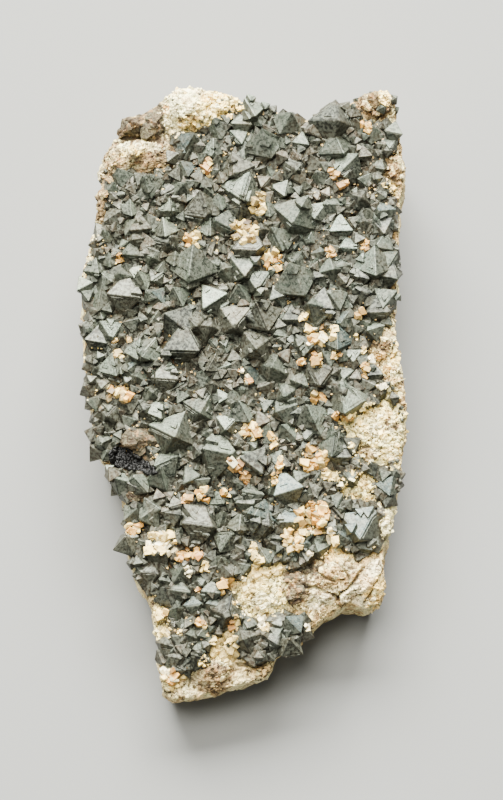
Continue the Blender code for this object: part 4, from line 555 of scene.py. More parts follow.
# Angular lumps of rock that stand out: place, size, colour.
ROCK_LUMPS = [
    (-22.9, 53.4, 2.3, "grey"), (-18.9, 52.2, 2.3, "grey"), (-17.8, 55.2, 2.0, "grey"),
    (-20.8, 55.0, 1.4, "grey"), (-24.4, 51.6, 1.0, "speckled"), (-26.4, 48.6, 0.9, "speckled"),
    (25.4, 57.6, 1.8, "pink"), (27.0, 56.0, 1.2, "pink"), (28.6, 59.2, 1.1, "yellow"),
    (23.8, 56.6, 1.0, "grey"), (29.0, 57.0, 1.0, "grey"), (30.4, 46.4, 1.2, "pink"),
    (29.0, 44.0, 1.1, "brown"), (31.4, 42.0, 1.0, "pink"), (-22.0, -9.8, 2.7, "grey"),
    (-19.0, -10.6, 2.4, "grey"), (-20.4, -12.4, 1.9, "grey"), (-21.6, -21.0, 1.8, "grey"),
    (-19.2, -21.4, 1.6, "grey"), (24.4, -12.9, 1.3, "tan"), (26.4, -12.8, 1.1, "tan"),
    (9.4, -37.8, 1.4, "grey"), (11.2, -39.6, 1.5, "grey"), (9.6, -41.2, 1.1, "grey"),
    (12.6, -36.0, 1.2, "grey"), (26.6, -39.0, 1.2, "yellow"), (26.0, -42.0, 1.2, "yellow"),
    (16.4, -36.0, 1.4, "tan"), (19.4, -36.6, 1.5, "tan"), (-26.6, 42.2, 1.3, "brown"),
    (-27.4, 39.6, 1.2, "brown"), (-6.4, -56.0, 1.3, "brown"), (-8.6, -57.4, 1.2, "brown"),
    (-4.2, -57.2, 1.1, "tan"), (28.4, 10.2, 1.2, "tan"), (30.6, 1.6, 0.9, "tan"),
]

# Places inside the beds where rock, not crystals, comes through.
BARE_PLACES = [
    (-20.6, -10.4, 3.9, 3.0), (-22.2, -13.7, 4.6, 2.7), (-20.4, -21.2, 2.6, 1.6),
    (-15.8, -30.4, 2.4, 2.0), (11.6, -27.4, 1.6, 2.6), (22.3, -19.3, 3.6, 2.6),
]
BEAD_BED = [
    (-26.6, -12.6), (-25.2, -11.4), (-22.8, -11.8), (-20.6, -13.4), (-18.2, -15.0), (-16.9, -16.5),
    (-18.4, -16.9), (-21.0, -16.0), (-24.0, -15.6), (-26.0, -14.8),
]


def seen_height(point):
    """How high in the front view a point of the slab's layout looks to be."""
    return SIGHT_UP.y * point.y + SIGHT_UP.z * (point.z - MIDDLE_HEIGHT - FACE_STAND)


def shade(red, green, blue):
    """Linear colour from screen values of 0 to 255."""
    values = []
    for value in (red / 255.0, green / 255.0, blue / 255.0):
        values.append(value / 12.92 if value <= 0.04045 else ((value + 0.055) / 1.055) ** 2.4)
    return tuple(values)


GRAIN_SHADES = {
    "white": shade(255, 249, 206), "cream": shade(255, 226, 140), "yellow": shade(244, 192, 88),
    "orange": shade(200, 136, 36), "salmon": shade(180, 119, 52), "rust": shade(118, 68, 30),
    "tan": shade(186, 154, 90), "brown": shade(88, 70, 40),
}
# Each rock shade, and how much dark speckle it carries.
ROCK_SHADES = {
    "white": (shade(255, 244, 184), 0.6), "cream": (shade(255, 235, 150), 0.8),
    "granular": (shade(255, 226, 132), 0.85), "yellow": (shade(255, 218, 126), 0.5),
    "pale": (shade(244, 226, 178), 0.6), "orange": (shade(232, 166, 76), 0.35),
    "tan": (shade(196, 171, 116), 0.9), "pink": (shade(164, 138, 94), 0.9),
    "brown": (shade(126, 107, 72), 0.8), "grey": (shade(75, 70, 53), 0.6),
    "speckled": (shade(92, 78, 54), 1.0), "crack": (shade(34, 27, 19), 0.2),
    "black": (shade(14, 12, 10), 0.0), "hollow": (shade(46, 36, 22), 0.3),
    "ground": (shade(54, 46, 30), 0.4), "edge": (shade(224, 198, 136), 0.8),
    "wall": (shade(214, 197, 152), 0.6),
}


def make_piece(name, build, material, smooth=False):
    """A finished piece on the object's body, from a bmesh in millimetres."""
    bmesh.ops.translate(build, verts=build.verts[:], vec=FRAME_SHIFT)
    bmesh.ops.scale(build, verts=build.verts[:], vec=(MM, MM, MM))
    for face in build.faces:
        face.smooth = smooth
    mesh = bpy.data.meshes.new(name)
    build.to_mesh(mesh)
    build.free()
    mesh.materials.append(material)
    piece = bpy.data.objects.new(name, mesh)
    bpy.context.scene.collection.objects.link(piece)
    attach(piece, "root")
    return piece


def add_copy(build, other):
    """Add the faces of one bmesh to another."""
    mesh = bpy.data.meshes.new("part")
    other.to_mesh(mesh)
    build.from_mesh(mesh)
    bpy.data.meshes.remove(mesh)


def join(build, other):
    """Add one bmesh to another and free it."""
    add_copy(build, other)
    other.free()


def soften(build, width):
    """Cut all edges of a bmesh to a narrow slope."""
    bmesh.ops.bevel(build, geom=build.edges[:], offset=width, offset_type="OFFSET", segments=1,
                    profile=0.5, affect="EDGES", material=-1)


# How many crumbs a rock zone gets by its kind, times both its half widths; other kinds have 3.
CRUMB_COUNT = {
    "white": 7.0, "cream": 9.0, "granular": 14.0, "yellow": 9.0, "speckled": 3.0,
    "grey": 0.6, "brown": 1.0, "tan": 1.6, "pink": 3.0, "pale": 1.2,
}
# Small dark crystals on the bare rock: place, half width, tone.
SMALL_DARK_CRYSTALS = [
    (31.9, -3.6, 0.7, "plain"), (32.2, -4.9, 0.6, "dark"),
    (31.5, -4.4, 0.5, "dull"), (32.0, -6.0, 0.5, "plain"),
    (29.8, -14.6, 1.0, "dull"), (31.0, -14.2, 0.7, "dark"), (24.9, 60.4, 0.9, "bright"),
    (23.1, 58.7, 0.9, "plain"), (22.4, 57.4, 0.8, "bright"), (30.6, 58.9, 1.4, "bright"),
    (28.2, 56.9, 1.3, "bright"), (31.0, 56.8, 1.2, "plain"), (26.1, 60.2, 0.6, "plain"),
    (-8.6, 59.8, 0.4, "dark"), (-4.0, 58.6, 0.5, "dull"), (-2.6, 56.4, 0.6, "plain"),
    (-14.0, 58.6, 0.4, "dark"), (-27.6, 44.2, 0.7, "dark"), (-28.4, 42.4, 0.8, "dull"),
    (30.4, 9.4, 0.5, "dark"), (29.2, 1.2, 0.8, "dark"), (30.2, 0.4, 0.6, "dark"),
    (3.0, -44.6, 0.4, "dull"), (19.6, -40.0, 0.4, "dark"), (22.6, -24.6, 0.5, "dark"),
]


def toned_build():
    """An empty bmesh with the layers that the crystals and grains need."""
    build = bmesh.new()
    build.verts.layers.float_color.new("tone")
    build.loops.layers.uv.new("facet")
    return build


class Surface:
    """A Principled material and short ways to add nodes to it."""

    def __init__(self, name):
        self.material = bpy.data.materials.new(name)
        self.material.use_nodes = True
        self.tree = self.material.node_tree
        self.shader = self.tree.nodes["Principled BSDF"]
        self.place = self.add("ShaderNodeTexCoord").outputs["Object"]

    def add(self, kind, **settings):
        node = self.tree.nodes.new(kind)
        for key, value in settings.items():
            setattr(node, key, value)
        return node

    def put(self, socket, value):
        if isinstance(value, bpy.types.NodeSocket):
            self.tree.links.new(value, socket)
        else:
            socket.default_value = value

    def noise(self, scale, detail=4.0, rough=0.6, where=None):
        node = self.add("ShaderNodeTexNoise")
        self.put(node.inputs["Vector"], where or self.place)
        node.inputs["Scale"].default_value = scale
        node.inputs["Detail"].default_value = detail
        node.inputs["Roughness"].default_value = rough
        return node.outputs["Fac"]

    def cells(self, scale, feature="F1", output="Distance", where=None):
        node = self.add("ShaderNodeTexVoronoi", feature=feature)
        self.put(node.inputs["Vector"], where or self.place)
        node.inputs["Scale"].default_value = scale
        return node.outputs[output]

    def remap(self, value, low, high, to_low, to_high):
        node = self.add("ShaderNodeMapRange")
        self.put(node.inputs["Value"], value)
        names = ("From Min", "From Max", "To Min", "To Max")
        for name, number in zip(names, (low, high, to_low, to_high)):
            node.inputs[name].default_value = number
        return node.outputs["Result"]

    def math(self, operation, first, second):
        node = self.add("ShaderNodeMath", operation=operation)
        self.put(node.inputs[0], first)
        self.put(node.inputs[1], second)
        return node.outputs["Value"]

    def mix(self, factor, first, second, blend="MIX"):
        node = self.add("ShaderNodeMix", data_type="RGBA", blend_type=blend)
        self.put(node.inputs["Factor"], factor)
        for name, colour in (("A", first), ("B", second)):
            linked = isinstance(colour, bpy.types.NodeSocket)
            self.put(node.inputs[name], colour if linked else (*colour, 1.0))
        return node.outputs["Result"]

    def stretched(self, where, scale, turn=0.0):
        """Coordinates turned about the upright axis and scaled, for lines that run one way."""
        node = self.add("ShaderNodeMapping")
        self.put(node.inputs["Vector"], where)
        node.inputs["Rotation"].default_value = (0.0, 0.0, turn)
        node.inputs["Scale"].default_value = scale
        return node.outputs["Vector"]

    def grey(self, value):
        node = self.add("ShaderNodeCombineColor")
        for name in ("Red", "Green", "Blue"):
            self.put(node.inputs[name], value)
        return node.outputs["Color"]

    def bump(self, height, distance, strength, below=None):
        node = self.add("ShaderNodeBump")
        self.put(node.inputs["Height"], height)
        node.inputs["Distance"].default_value = distance
        node.inputs["Strength"].default_value = strength
        if below is not None:
            self.put(node.inputs["Normal"], below)
        return node.outputs["Normal"]


def magnetite_surface():
    """Dull grey metallic faces, pitted, lightly striated and dusty, with edges lightened by painted
    highlight and wear.
    """
    s = Surface("magnetite_faces")
    tone = s.add("ShaderNodeAttribute", attribute_name="tone")
    coarse = s.noise(420.0, 5.0, 0.65)
    fine = s.noise(3000.0, 3.0, 0.7)
    facet = s.add("ShaderNodeUVMap", uv_map="facet").outputs["UV"]
    lines = s.noise(1.0, 3.0, 0.6, where=s.stretched(facet, (1.2, 46.0, 1.0)))
    scratch = s.noise(1.0, 2.0, 0.5, where=s.stretched(facet, (5.0, 62.0, 1.0)))
    light = s.math("MULTIPLY", s.remap(coarse, 0.3, 0.7, 0.66, 1.32),
                   s.remap(fine, 0.34, 0.66, 0.2, 1.84))
    light = s.math("MULTIPLY", light, s.remap(lines, 0.3, 0.7, 0.88, 1.12))
    light = s.math("MULTIPLY", light, s.remap(s.noise(1150.0, 2.0, 0.6), 0.34, 0.66, 0.6, 1.36))
    colour = s.mix(1.0, tone.outputs["Color"], s.grey(light), "MULTIPLY")
    dusty = s.remap(s.noise(230.0, 6.0, 0.7), 0.5, 0.72, 0.0, 0.5)
    colour = s.mix(dusty, colour, shade(78, 66, 46))
    pits = s.math("MULTIPLY", s.remap(s.noise(1500.0, 4.0, 0.8), 0.55, 0.63, 0.0, 0.8),
                  s.remap(coarse, 0.35, 0.6, 0.4, 1.0))
    colour = s.mix(pits, colour, shade(22, 21, 16))
    colour = s.mix(s.remap(scratch, 0.62, 0.7, 0.0, 0.5), colour, shade(32, 33, 27))
    speck = s.remap(s.cells(1700.0), 0.06, 0.13, 1.0, 0.0)
    speck = s.math("MULTIPLY", speck, s.remap(coarse, 0.5, 0.6, 0.0, 0.6))
    colour = s.mix(speck, colour, shade(204, 206, 188))
    # Painted highlight: a lighter grey laid along the edges, as light catching them, with some wear.
    edge_highlight_and_wear = s.math("MULTIPLY", tone.outputs["Alpha"], s.remap(s.noise(1500.0, 2.0), 0.4, 0.6, 0.05, 0.4))
    colour = s.mix(edge_highlight_and_wear, colour, shade(134, 138, 122))
    s.put(s.shader.inputs["Base Color"], colour)
    s.put(s.shader.inputs["Roughness"], s.remap(fine, 0.2, 0.8, 0.36, 0.6))
    s.shader.inputs["Metallic"].default_value = 0.45
    s.shader.inputs["Specular IOR Level"].default_value = 0.3
    relief = s.bump(lines, 0.00012, 0.25)
    s.put(s.shader.inputs["Normal"], s.bump(fine, 0.00008, 0.5, relief))
    return s.material


def rock_surface():
    """Crumbly granular rock: grains of their own shade, stained joints, cracks and dark specks."""
    s = Surface("granular_rock")
    zone = s.add("ShaderNodeAttribute", attribute_name="tone")
    base, speckle = zone.outputs["Color"], zone.outputs["Alpha"]
    bent = s.add("ShaderNodeMix", data_type="VECTOR")
    warp = s.add("ShaderNodeTexNoise")
    s.put(warp.inputs["Vector"], s.place)
    warp.inputs["Scale"].default_value = 700.0
    bent.inputs["Factor"].default_value = 0.0011
    s.put(bent.inputs["A"], s.place)
    s.put(bent.inputs["B"], warp.outputs["Color"])
    where = bent.outputs["Result"]
    parts = s.add("ShaderNodeSeparateColor")
    s.put(parts.inputs["Color"], s.cells(1050.0, output="Color", where=where))
    joint = s.cells(1050.0, "DISTANCE_TO_EDGE", where=where)
    fine = s.noise(3000.0, 4.0, 0.7)
    broad = s.noise(210.0, 5.0, 0.6)
    blotch = s.noise(520.0, 5.0, 0.65)
    light = s.math("MULTIPLY", s.remap(parts.outputs["Red"], 0.0, 1.0, 0.78, 1.2),
                   s.remap(fine, 0.3, 0.7, 0.62, 1.34))
    light = s.math("MULTIPLY", light, s.remap(blotch, 0.36, 0.62, 0.8, 1.24))
    channels = s.add("ShaderNodeSeparateColor")
    s.put(channels.inputs["Color"], base)
    pale = s.remap(channels.outputs["Red"], 0.1, 0.5, 0.08, 1.0)
    light = s.math("MULTIPLY", light, s.remap(pale, 0.0, 1.0, 0.92, 1.14))
    colour = s.mix(1.0, base, s.grey(light), "MULTIPLY")
    tan = s.math("MULTIPLY", s.remap(blotch, 0.36, 0.5, 0.75, 0.0), speckle)
    colour = s.mix(tan, colour, s.mix(0.6, base, shade(128, 104, 74)))
    rusty = s.math("MULTIPLY", s.remap(parts.outputs["Green"], 0.86, 0.94, 0.0, 0.45), speckle)
    colour = s.mix(rusty, colour, shade(214, 164, 104))
    patch = s.noise(300.0, 3.0, 0.55)
    warm = s.math("MULTIPLY", s.remap(patch, 0.53, 0.58, 0.0, 0.8), pale)
    colour = s.mix(warm, colour, s.mix(0.5, base, shade(188, 136, 68)))
    white = s.math("MULTIPLY", s.remap(patch, 0.4, 0.46, 0.75, 0.0), pale)
    colour = s.mix(white, colour, s.mix(0.55, base, shade(255, 250, 196)))
    bright = s.math("MULTIPLY", s.remap(parts.outputs["Blue"], 0.74, 0.86, 0.0, 0.66), pale)
    colour = s.mix(bright, colour, shade(255, 246, 178))
    blots = s.math("MULTIPLY", s.remap(s.noise(640.0, 3.0, 0.6), 0.6, 0.64, 0.0, 0.75), speckle)
    colour = s.mix(blots, colour, shade(128, 88, 48))
    stained = s.math("MULTIPLY", s.remap(joint, 0.0, 0.06, 0.6, 0.0),
                     s.remap(broad, 0.42, 0.6, 0.1, 1.0))
    colour = s.mix(s.math("MULTIPLY", stained, speckle), colour, shade(70, 54, 34))
    crack = s.remap(s.cells(330.0, "DISTANCE_TO_EDGE", where=where), 0.0, 0.035, 0.8, 0.0)
    cracked = s.math("MULTIPLY", crack, s.remap(broad, 0.46, 0.56, 0.0, 1.0))
    colour = s.mix(cracked, colour, shade(72, 54, 36))
    lines = s.noise(1.0, 3.0, 0.6, where=s.stretched(s.place, (5200.0, 700.0, 900.0), 0.75))
    streaked = s.math("MULTIPLY", s.remap(lines, 0.56, 0.64, 0.0, 0.6), speckle)
    colour = s.mix(streaked, colour, shade(84, 70, 48))
    pits = s.math("MULTIPLY", s.remap(s.noise(1350.0, 3.0, 0.7), 0.545, 0.575, 0.0, 1.0),
                  s.remap(broad, 0.4, 0.52, 0.4, 1.0))
    pits = s.math("MULTIPLY", pits, s.remap(speckle, 0.0, 0.7, 0.0, 0.95))
    colour = s.mix(pits, colour, shade(48, 34, 22))
    grit = s.remap(s.noise(2600.0, 2.0, 0.6), 0.6, 0.64, 0.0, 0.8)
    colour = s.mix(s.math("MULTIPLY", grit, speckle), colour, shade(46, 38, 25))
    s.put(s.shader.inputs["Base Color"], colour)
    s.shader.inputs["Roughness"].default_value = 0.86
    s.shader.inputs["Specular IOR Level"].default_value = 0.3
    rough = s.math("ADD", s.remap(joint, 0.0, 0.25, 0.0, 1.0), s.math("MULTIPLY", fine, 0.8))
    rough = s.math("SUBTRACT", rough, s.math("MULTIPLY", pits, 0.8))
    s.put(s.shader.inputs["Normal"], s.bump(rough, 0.0002, 0.7))
    return s.material


def grain_surface():
    """Sugary pale grains with stained hollows."""
    s = Surface("pale_grains")
    tone = s.add("ShaderNodeAttribute", attribute_name="tone")
    fine = s.noise(2800.0, 4.0, 0.7)
    blotch = s.noise(800.0, 4.0, 0.65)
    light = s.math("MULTIPLY", s.remap(fine, 0.3, 0.7, 0.74, 1.2),
                   s.remap(blotch, 0.35, 0.6, 1.12, 0.88))
    colour = s.mix(1.0, tone.outputs["Color"], s.grey(light), "MULTIPLY")
    colour = s.mix(s.remap(blotch, 0.55, 0.7, 0.0, 0.45), colour, shade(222, 180, 106))
    pits = s.remap(s.noise(1700.0, 3.0, 0.75), 0.58, 0.64, 0.0, 0.75)
    colour = s.mix(pits, colour, shade(92, 68, 40))
    s.put(s.shader.inputs["Base Color"], colour)
    s.shader.inputs["Roughness"].default_value = 0.55
    s.put(s.shader.inputs["Normal"], s.bump(fine, 0.00012, 0.6))
    return s.material


def bead_surface():
    """Shiny black beads, a little dusty in their hollows."""
    s = Surface("black_beads")
    fine = s.noise(1500.0, 3.0, 0.6)
    colour = s.mix(s.remap(fine, 0.55, 0.75, 0.0, 0.4), shade(6, 6, 5), shade(34, 30, 23))
    s.put(s.shader.inputs["Base Color"], colour)
    s.put(s.shader.inputs["Roughness"], s.remap(fine, 0.3, 0.7, 0.25, 0.6))
    s.shader.inputs["Specular IOR Level"].default_value = 0.16
    s.put(s.shader.inputs["Normal"], s.bump(fine, 0.0001, 0.3))
    return s.material


MAGNETITE = magnetite_surface()
ROCK = rock_surface()
GRAIN = grain_surface()
BEADS = bead_surface()

# Greys of the face tones, also used for the small dark crystals on the rock: bright and blue are
# painted highlight and reflection, dark is painted shade.
FACE_GREYS = {
    "plain": shade(53, 60, 50), "bright": shade(88, 97, 84), "blue": shade(55, 68, 66),
    "dull": shade(48, 46, 35), "dark": shade(21, 24, 20),
}
# Brown-black laid on the low parts of each crystal: partly dust in the crevices, partly painted shade
# deep in the crust. The small crystals are also tinted towards it.
DUST_AND_LOW_SHADE = shade(46, 35, 21)
# Parts of the crust where the crystals are changed: the first two are darkened as painted shade, the
# other two get a warm dusty and a cool tint. Centre, reach, factors on its colour.
CRUST_SHADE_AND_TINT = [
    (-23.0, -5.0, 9.0, (0.72, 0.71, 0.67)), (-8.0, -28.0, 13.0, (0.7, 0.68, 0.62)),
    (-20.0, 28.0, 12.0, (0.97, 0.93, 0.85)), (20.0, 28.0, 12.0, (0.9, 0.94, 0.98)),
]


def shade_and_tint_of_part(x, y):
    """How the painted shade and tint of the crust's parts change the colour of the crystals that stand
    there.
    """
    part_shade_tint = Vector((1.0, 1.0, 1.0))
    for cx, cy, reach, factors in CRUST_SHADE_AND_TINT:
        share = clamp(1.4 - math.hypot(x - cx, y - cy) / reach)
        part_shade_tint = part_shade_tint.lerp(Vector(factors), share)
    return part_shade_tint


def face_kind(x, y):
    """Which of the listed tones a face seen at this place has."""
    best, kind = 1.8, "plain"
    for name, places in FACE_TONES.items():
        for px, py in places:
            away = math.hypot(px - x, py - y)
            if away < best:
                best, kind = away, name
    return kind


def scaled(colour, factor):
    return tuple(value * factor for value in colour)


def crystal(corners, edge, tones, chance, steps, chips=0.3):
    """An octahedron with softened edges, chipped tips and growth steps on its faces."""
    build = toned_build()
    tone_layer = build.verts.layers.float_color["tone"]
    facet_layer = build.loops.layers.uv["facet"]
    centre = (corners[0] + corners[3]) / 2.0
    axes = [(corner - centre).normalized() for corner in corners[:3]]
    made = [build.verts.new(corner) for corner in corners]
    bmesh.ops.convex_hull(build, input=made)
    for corner in corners:
        if chance.random() > chips:
            continue
        away = (corner - centre).normalized()
        slant = Vector([chance.uniform(-0.5, 0.5) for axis in range(3)])
        cut = corner - away * edge * chance.choice((0.03, 0.06, 0.1, 0.16))
        everything = build.verts[:] + build.edges[:] + build.faces[:]
        bmesh.ops.bisect_plane(build, geom=everything, plane_co=cut,
                               plane_no=(away + slant).normalized(), clear_outer=True)
        rim = [side for side in build.edges if side.is_boundary]
        if rim:
            bmesh.ops.holes_fill(build, edges=rim)
    soften(build, min(max(0.022 * edge, 0.05), 0.13))
    build.normal_update()
    normals = []
    for number in range(8):
        signs = [1.0 if number & bit else -1.0 for bit in (1, 2, 4)]
        normals.append(sum((axis * sign for axis, sign in zip(axes, signs)), Vector()).normalized())
    for side in [face for face in build.faces if face.calc_area() > 0.12 * edge * edge]:
        if chance.random() > steps or side.normal.z < -0.1:
            continue
        for level in range(chance.choice((1, 1, 2, 3))):
            size = math.sqrt(side.calc_area())
            bmesh.ops.inset_individual(build, faces=[side], thickness=size * chance.uniform(0.03, 0.12),
                                       depth=0.0, use_even_offset=True)
            rise = min(edge * chance.uniform(0.008, 0.02), 0.1) * chance.choice((1.0, 1.0, -1.0))
            bmesh.ops.inset_individual(build, faces=[side], thickness=abs(rise) * 0.6, depth=rise,
                                       use_even_offset=True)
    build.normal_update()
    turns = [chance.randrange(3) for number in range(8)]
    dust_and_shade = chance.uniform(0.5, 1.0)
    part_shade_tint = shade_and_tint_of_part(*seen_place(centre))
    shifts = [chance.uniform(0.0, 40.0) for number in range(8)]

    def facet_of(face):
        return max(range(8), key=lambda number: normals[number].dot(face.normal))

    for vertex in build.verts:
        face = max(vertex.link_faces,
                   key=lambda f: normals[facet_of(f)].dot(f.normal) + 0.02 * f.calc_area())
        number = facet_of(face)
        # Painted shade and dust: vertices close over the slab top are darkened towards brown-black, the
        # listed face less so.
        low = clamp((2.2 - vertex.co.z + top_height(vertex.co.y)) / 2.2) * dust_and_shade
        tone = (Vector(tones[number]) * part_shade_tint).lerp(Vector(DUST_AND_LOW_SHADE), low if number != 7 else 0.4 * low)
        # The alpha is the share of the painted edge highlight: 0.8 on most vertices, 0.15 on those with
        # more than four edges.
        vertex[tone_layer] = (*tone, 0.15 if len(vertex.link_edges) > 4 else 0.8)
    for face in build.faces:
        number = facet_of(face)
        normal = normals[number]
        along = (axes[turns[number]] - axes[turns[number] - 1]).normalized()
        if abs(along.dot(normal)) > 0.1:
            along = (axes[turns[number]] + axes[turns[number] - 1]).normalized()
        across = normal.cross(along)
        for loop in face.loops:
            offset = loop.vert.co - centre
            loop[facet_layer].uv = (offset.dot(along) / 10.0 + shifts[number],
                                    offset.dot(across) / 10.0 + 3.0)
    return build


def facet_tones(listed_tone, chance):
    """Tones of the eight faces; the last one is the listed face, spanned by the first three corners."""
    own = chance.uniform(0.86, 1.14)
    # Painted shade: the seven other faces are kept at 0.6 of the darker of plain and the listed grey,
    # so the listed face stands out as lit.
    other = [0.6 * min(a, b) for a, b in zip(FACE_GREYS["plain"], listed_tone)]
    spread = (1.0 - TONE_SPREAD, 1.0 + TONE_SPREAD)
    tones = [scaled(other, own * chance.uniform(*spread)) for number in range(8)]
    tones[7] = scaled(listed_tone, chance.uniform(0.92, 1.08))
    return tones


def side_crystals(centre, corners, edge, chance):
    """Smaller octahedra grown parallel to a large one: half sunk in its edges, and low on its faces."""
    added = []
    for number in range(chance.choice((0, 1, 1, 2, 3)) if edge < 5.0 else chance.choice((2, 3, 4))):
        first, second = chance.sample(range(6), 2)
        if first % 3 == second % 3:
            continue
        middle = corners[first].lerp(corners[second], chance.uniform(0.15, 0.85))
        if middle.z < centre.z - 0.15 * edge:
            continue
        small = edge * chance.uniform(0.16, 0.42)
        place = centre.lerp(middle, chance.uniform(0.82, 0.98))
        ratio = small / edge
        added.append((place, [place + (corner - centre) * ratio for corner in corners], small))
    for number in range(chance.choice((0, 0, 1)) if edge < 4.6 else chance.choice((1, 2, 3))):
        signs = [chance.choice((0, 3)) for axis in range(3)]
        if chance.random() < 0.5:
            signs = [0, 0, 0]
        trio = [corners[axis + sign] for axis, sign in enumerate(signs)]
        normal = (sum(trio, Vector()) / 3.0 - centre).normalized()
        shares = [chance.uniform(0.15, 1.0) for axis in range(3)]
        spot = sum((corner * share for corner, share in zip(trio, shares)), Vector()) / sum(shares)
        if normal.z < 0.1:
            continue
        small = edge * chance.uniform(0.16, 0.34)
        place = spot - normal * (small * 0.408 - edge * chance.uniform(0.012, 0.05))
        ratio = small / edge
        added.append((place, [place + (corner - centre) * ratio for corner in corners], small))
    return added


def in_grain_zone(x, y, margin):
    for x0, x1, y0, y1, shades in GRAIN_ZONES:
        if x0 - margin < x < x1 + margin and y0 - margin < y < y1 + margin:
            return True
    return False


def seen_place(point):
    return point.x, seen_height(point)


def build_druse():
    """All the large crystals, as one bmesh for each node that they stand for."""
    chance = random.Random(SEEDS["druse"])
    listed = [octahedron_from_face(face) for face in LISTED_FACES]
    solid = [item for item in listed if item[2] >= SMALLEST_SOLID]
    filling = filling_octahedra(solid, smallest=3.2, largest=4.8, tries=5000,
                                seed=SEEDS["filling"], closeness=0.48)
    groups = {"main_druse": toned_build(), "rim_cluster": toned_build(),
              "rim_crystal": toned_build(), "lone_crystal": toned_build()}
    placed = []
    for item, face in zip(listed, LISTED_FACES):
        centre, corners, edge = item
        middle_x = (face[0] + face[2] + face[4]) / 3.0
        middle_y = (face[1] + face[3] + face[5]) / 3.0
        tone = FACE_GREYS[face_kind(middle_x, middle_y)]
        if math.hypot(middle_x - 28.7, middle_y + 18.9) < 2.0:
            group = "rim_cluster"
        elif math.hypot(middle_x - 25.4, middle_y + 16.0) < 1.5:
            group = "rim_crystal"
        elif math.hypot(middle_x - 30.6, middle_y + 2.1) < 1.5:
            group = "lone_crystal"
        else:
            group = "main_druse"
        join(groups[group], crystal(corners, edge, facet_tones(tone, chance), chance, 0.35))
        placed.append(item)
        if edge > 3.4 and group == "main_druse":
            for small in side_crystals(centre, corners, edge, chance):
                tones = facet_tones(scaled(tone, 0.9), chance)
                join(groups[group], crystal(small[1], small[2], tones, chance, 0.1))
    for centre, corners, edge in filling:
        x, y = seen_place(centre)
        if in_grain_zone(x, y, 0.3) or bare_place(x, y, BARE_REACH):
            continue
        tone = scaled(FACE_GREYS["plain"], chance.uniform(0.7, 1.2))
        join(groups["main_druse"], crystal(corners, edge, facet_tones(tone, chance), chance, 0.3))
        placed.append((centre, corners, edge))
    return groups, placed


def gap_around(x, y, faces, discs):
    """Clear distance in the front view from a place to the listed faces and the filling crystals."""
    clear = 4.0
    for ax, ay, bx, by, cx, cy, reach in faces:
        if math.hypot(x - (ax + bx + cx) / 3.0, y - (ay + by + cy) / 3.0) > reach + clear:
            continue
        sides = ((ax, ay, bx, by), (bx, by, cx, cy), (cx, cy, ax, ay))
        turns = [(qx - px) * (y - py) - (qy - py) * (x - px) for px, py, qx, qy in sides]
        if min(turns) >= 0.0 or max(turns) <= 0.0:
            return 0.0
        for side in sides:
            clear = min(clear, off_segment(x, y, *side))
    for dx, dy, radius in discs:
        clear = min(clear, max(math.hypot(x - dx, y - dy) - radius, 0.0))
    return clear


def random_octahedron(x, y, edge, tip, chance, top):
    """A randomly turned octahedron seen at this place, its highest corner at this height."""
    lean = chance.uniform(0.0, 2.0 * math.pi)
    spin = chance.uniform(0.0, 2.0 * math.pi)
    centre, corners, edge = turned_octahedron(x, y, edge, lean, tip, spin)
    reach = max(corner.z - top_height(corner.y) for corner in corners)
    shift = SIGHT * ((top - reach) / (SIGHT.z - TOP_SLOPE * SIGHT.y))
    return centre + shift, [corner + shift for corner in corners], edge


def outline_place(attempt, chance):
    """A random place in one of the crystal beds, or None."""
    outline = MAIN_BED if attempt % 14 else BEDS[1 + (attempt // 14) % 3]
    x, y = random_place(outline, chance)
    if not inside(x, y, outline) or bare_place(x, y, 1.0):
        return None
    return x, y


def bare_place(x, y, reach):
    """Whether rock rather than crystals comes through the bed here."""
    for cx, cy, half_x, half_y in BARE_PLACES:
        if math.hypot((x - cx) / half_x, (y - cy) / half_y) < reach:
            return True
    return False


def on_crust(x, y):
    """Whether a place of the front view lies on the crust of crystals."""
    return any(inside(x, y, outline) for outline in BEDS) and not bare_place(x, y, BARE_REACH)


def floor_crystals(tries, seed):
    """Broad octahedra sunk deep and grown through each other: the floor of the crust."""
    chance = random.Random(seed)
    spots = []
    added = []
    for attempt in range(tries):
        place = outline_place(attempt, chance)
        edge = chance.uniform(2.4, 4.8)
        tip = math.radians(chance.uniform(4.0, 38.0))
        top = chance.uniform(1.3, 2.5)
        if place is None:
            continue
        x, y = place
        if spots and min((x - px) ** 2 + (y - py) ** 2 for px, py in spots) < 1.9:
            continue
        spots.append((x, y))
        added.append(random_octahedron(x, y, edge, tip, chance, top))
    return added


def packing_crystals(placed, tries, seed, widest, narrowest, tops):
    """Octahedra fitted between the faces that are seen, bigger where there is more room."""
    chance = random.Random(seed)
    faces = []
    for face in LISTED_FACES:
        reach = max(math.hypot(face[i] - sum(face[0:6:2]) / 3.0, face[i + 1] - sum(face[1:6:2]) / 3.0)
                    for i in (0, 2, 4))
        faces.append((*face[:6], reach))
    discs = []
    for centre, corners, edge in placed[len(LISTED_FACES):]:
        x, y = seen_place(centre)
        discs.append((x, y, 0.36 * edge))
    added = []
    for attempt in range(tries):
        place = outline_place(attempt, chance)
        size = chance.uniform(0.8, 1.15)
        tip = math.radians(chance.uniform(5.0, 50.0))
        top = chance.uniform(*tops)
        if place is None:
            continue
        x, y = place
        clear = gap_around(x, y, faces, discs)
        if clear < 0.3 or (in_grain_zone(x, y, -0.1) and chance.random() < 0.85):
            continue
        edge = min(narrowest + 1.6 * clear, widest) * size
        made = random_octahedron(x, y, edge, tip, chance, top + 0.25 * clear)
        added.append(made)
        discs.append((x, y, 0.34 * edge))
    return added


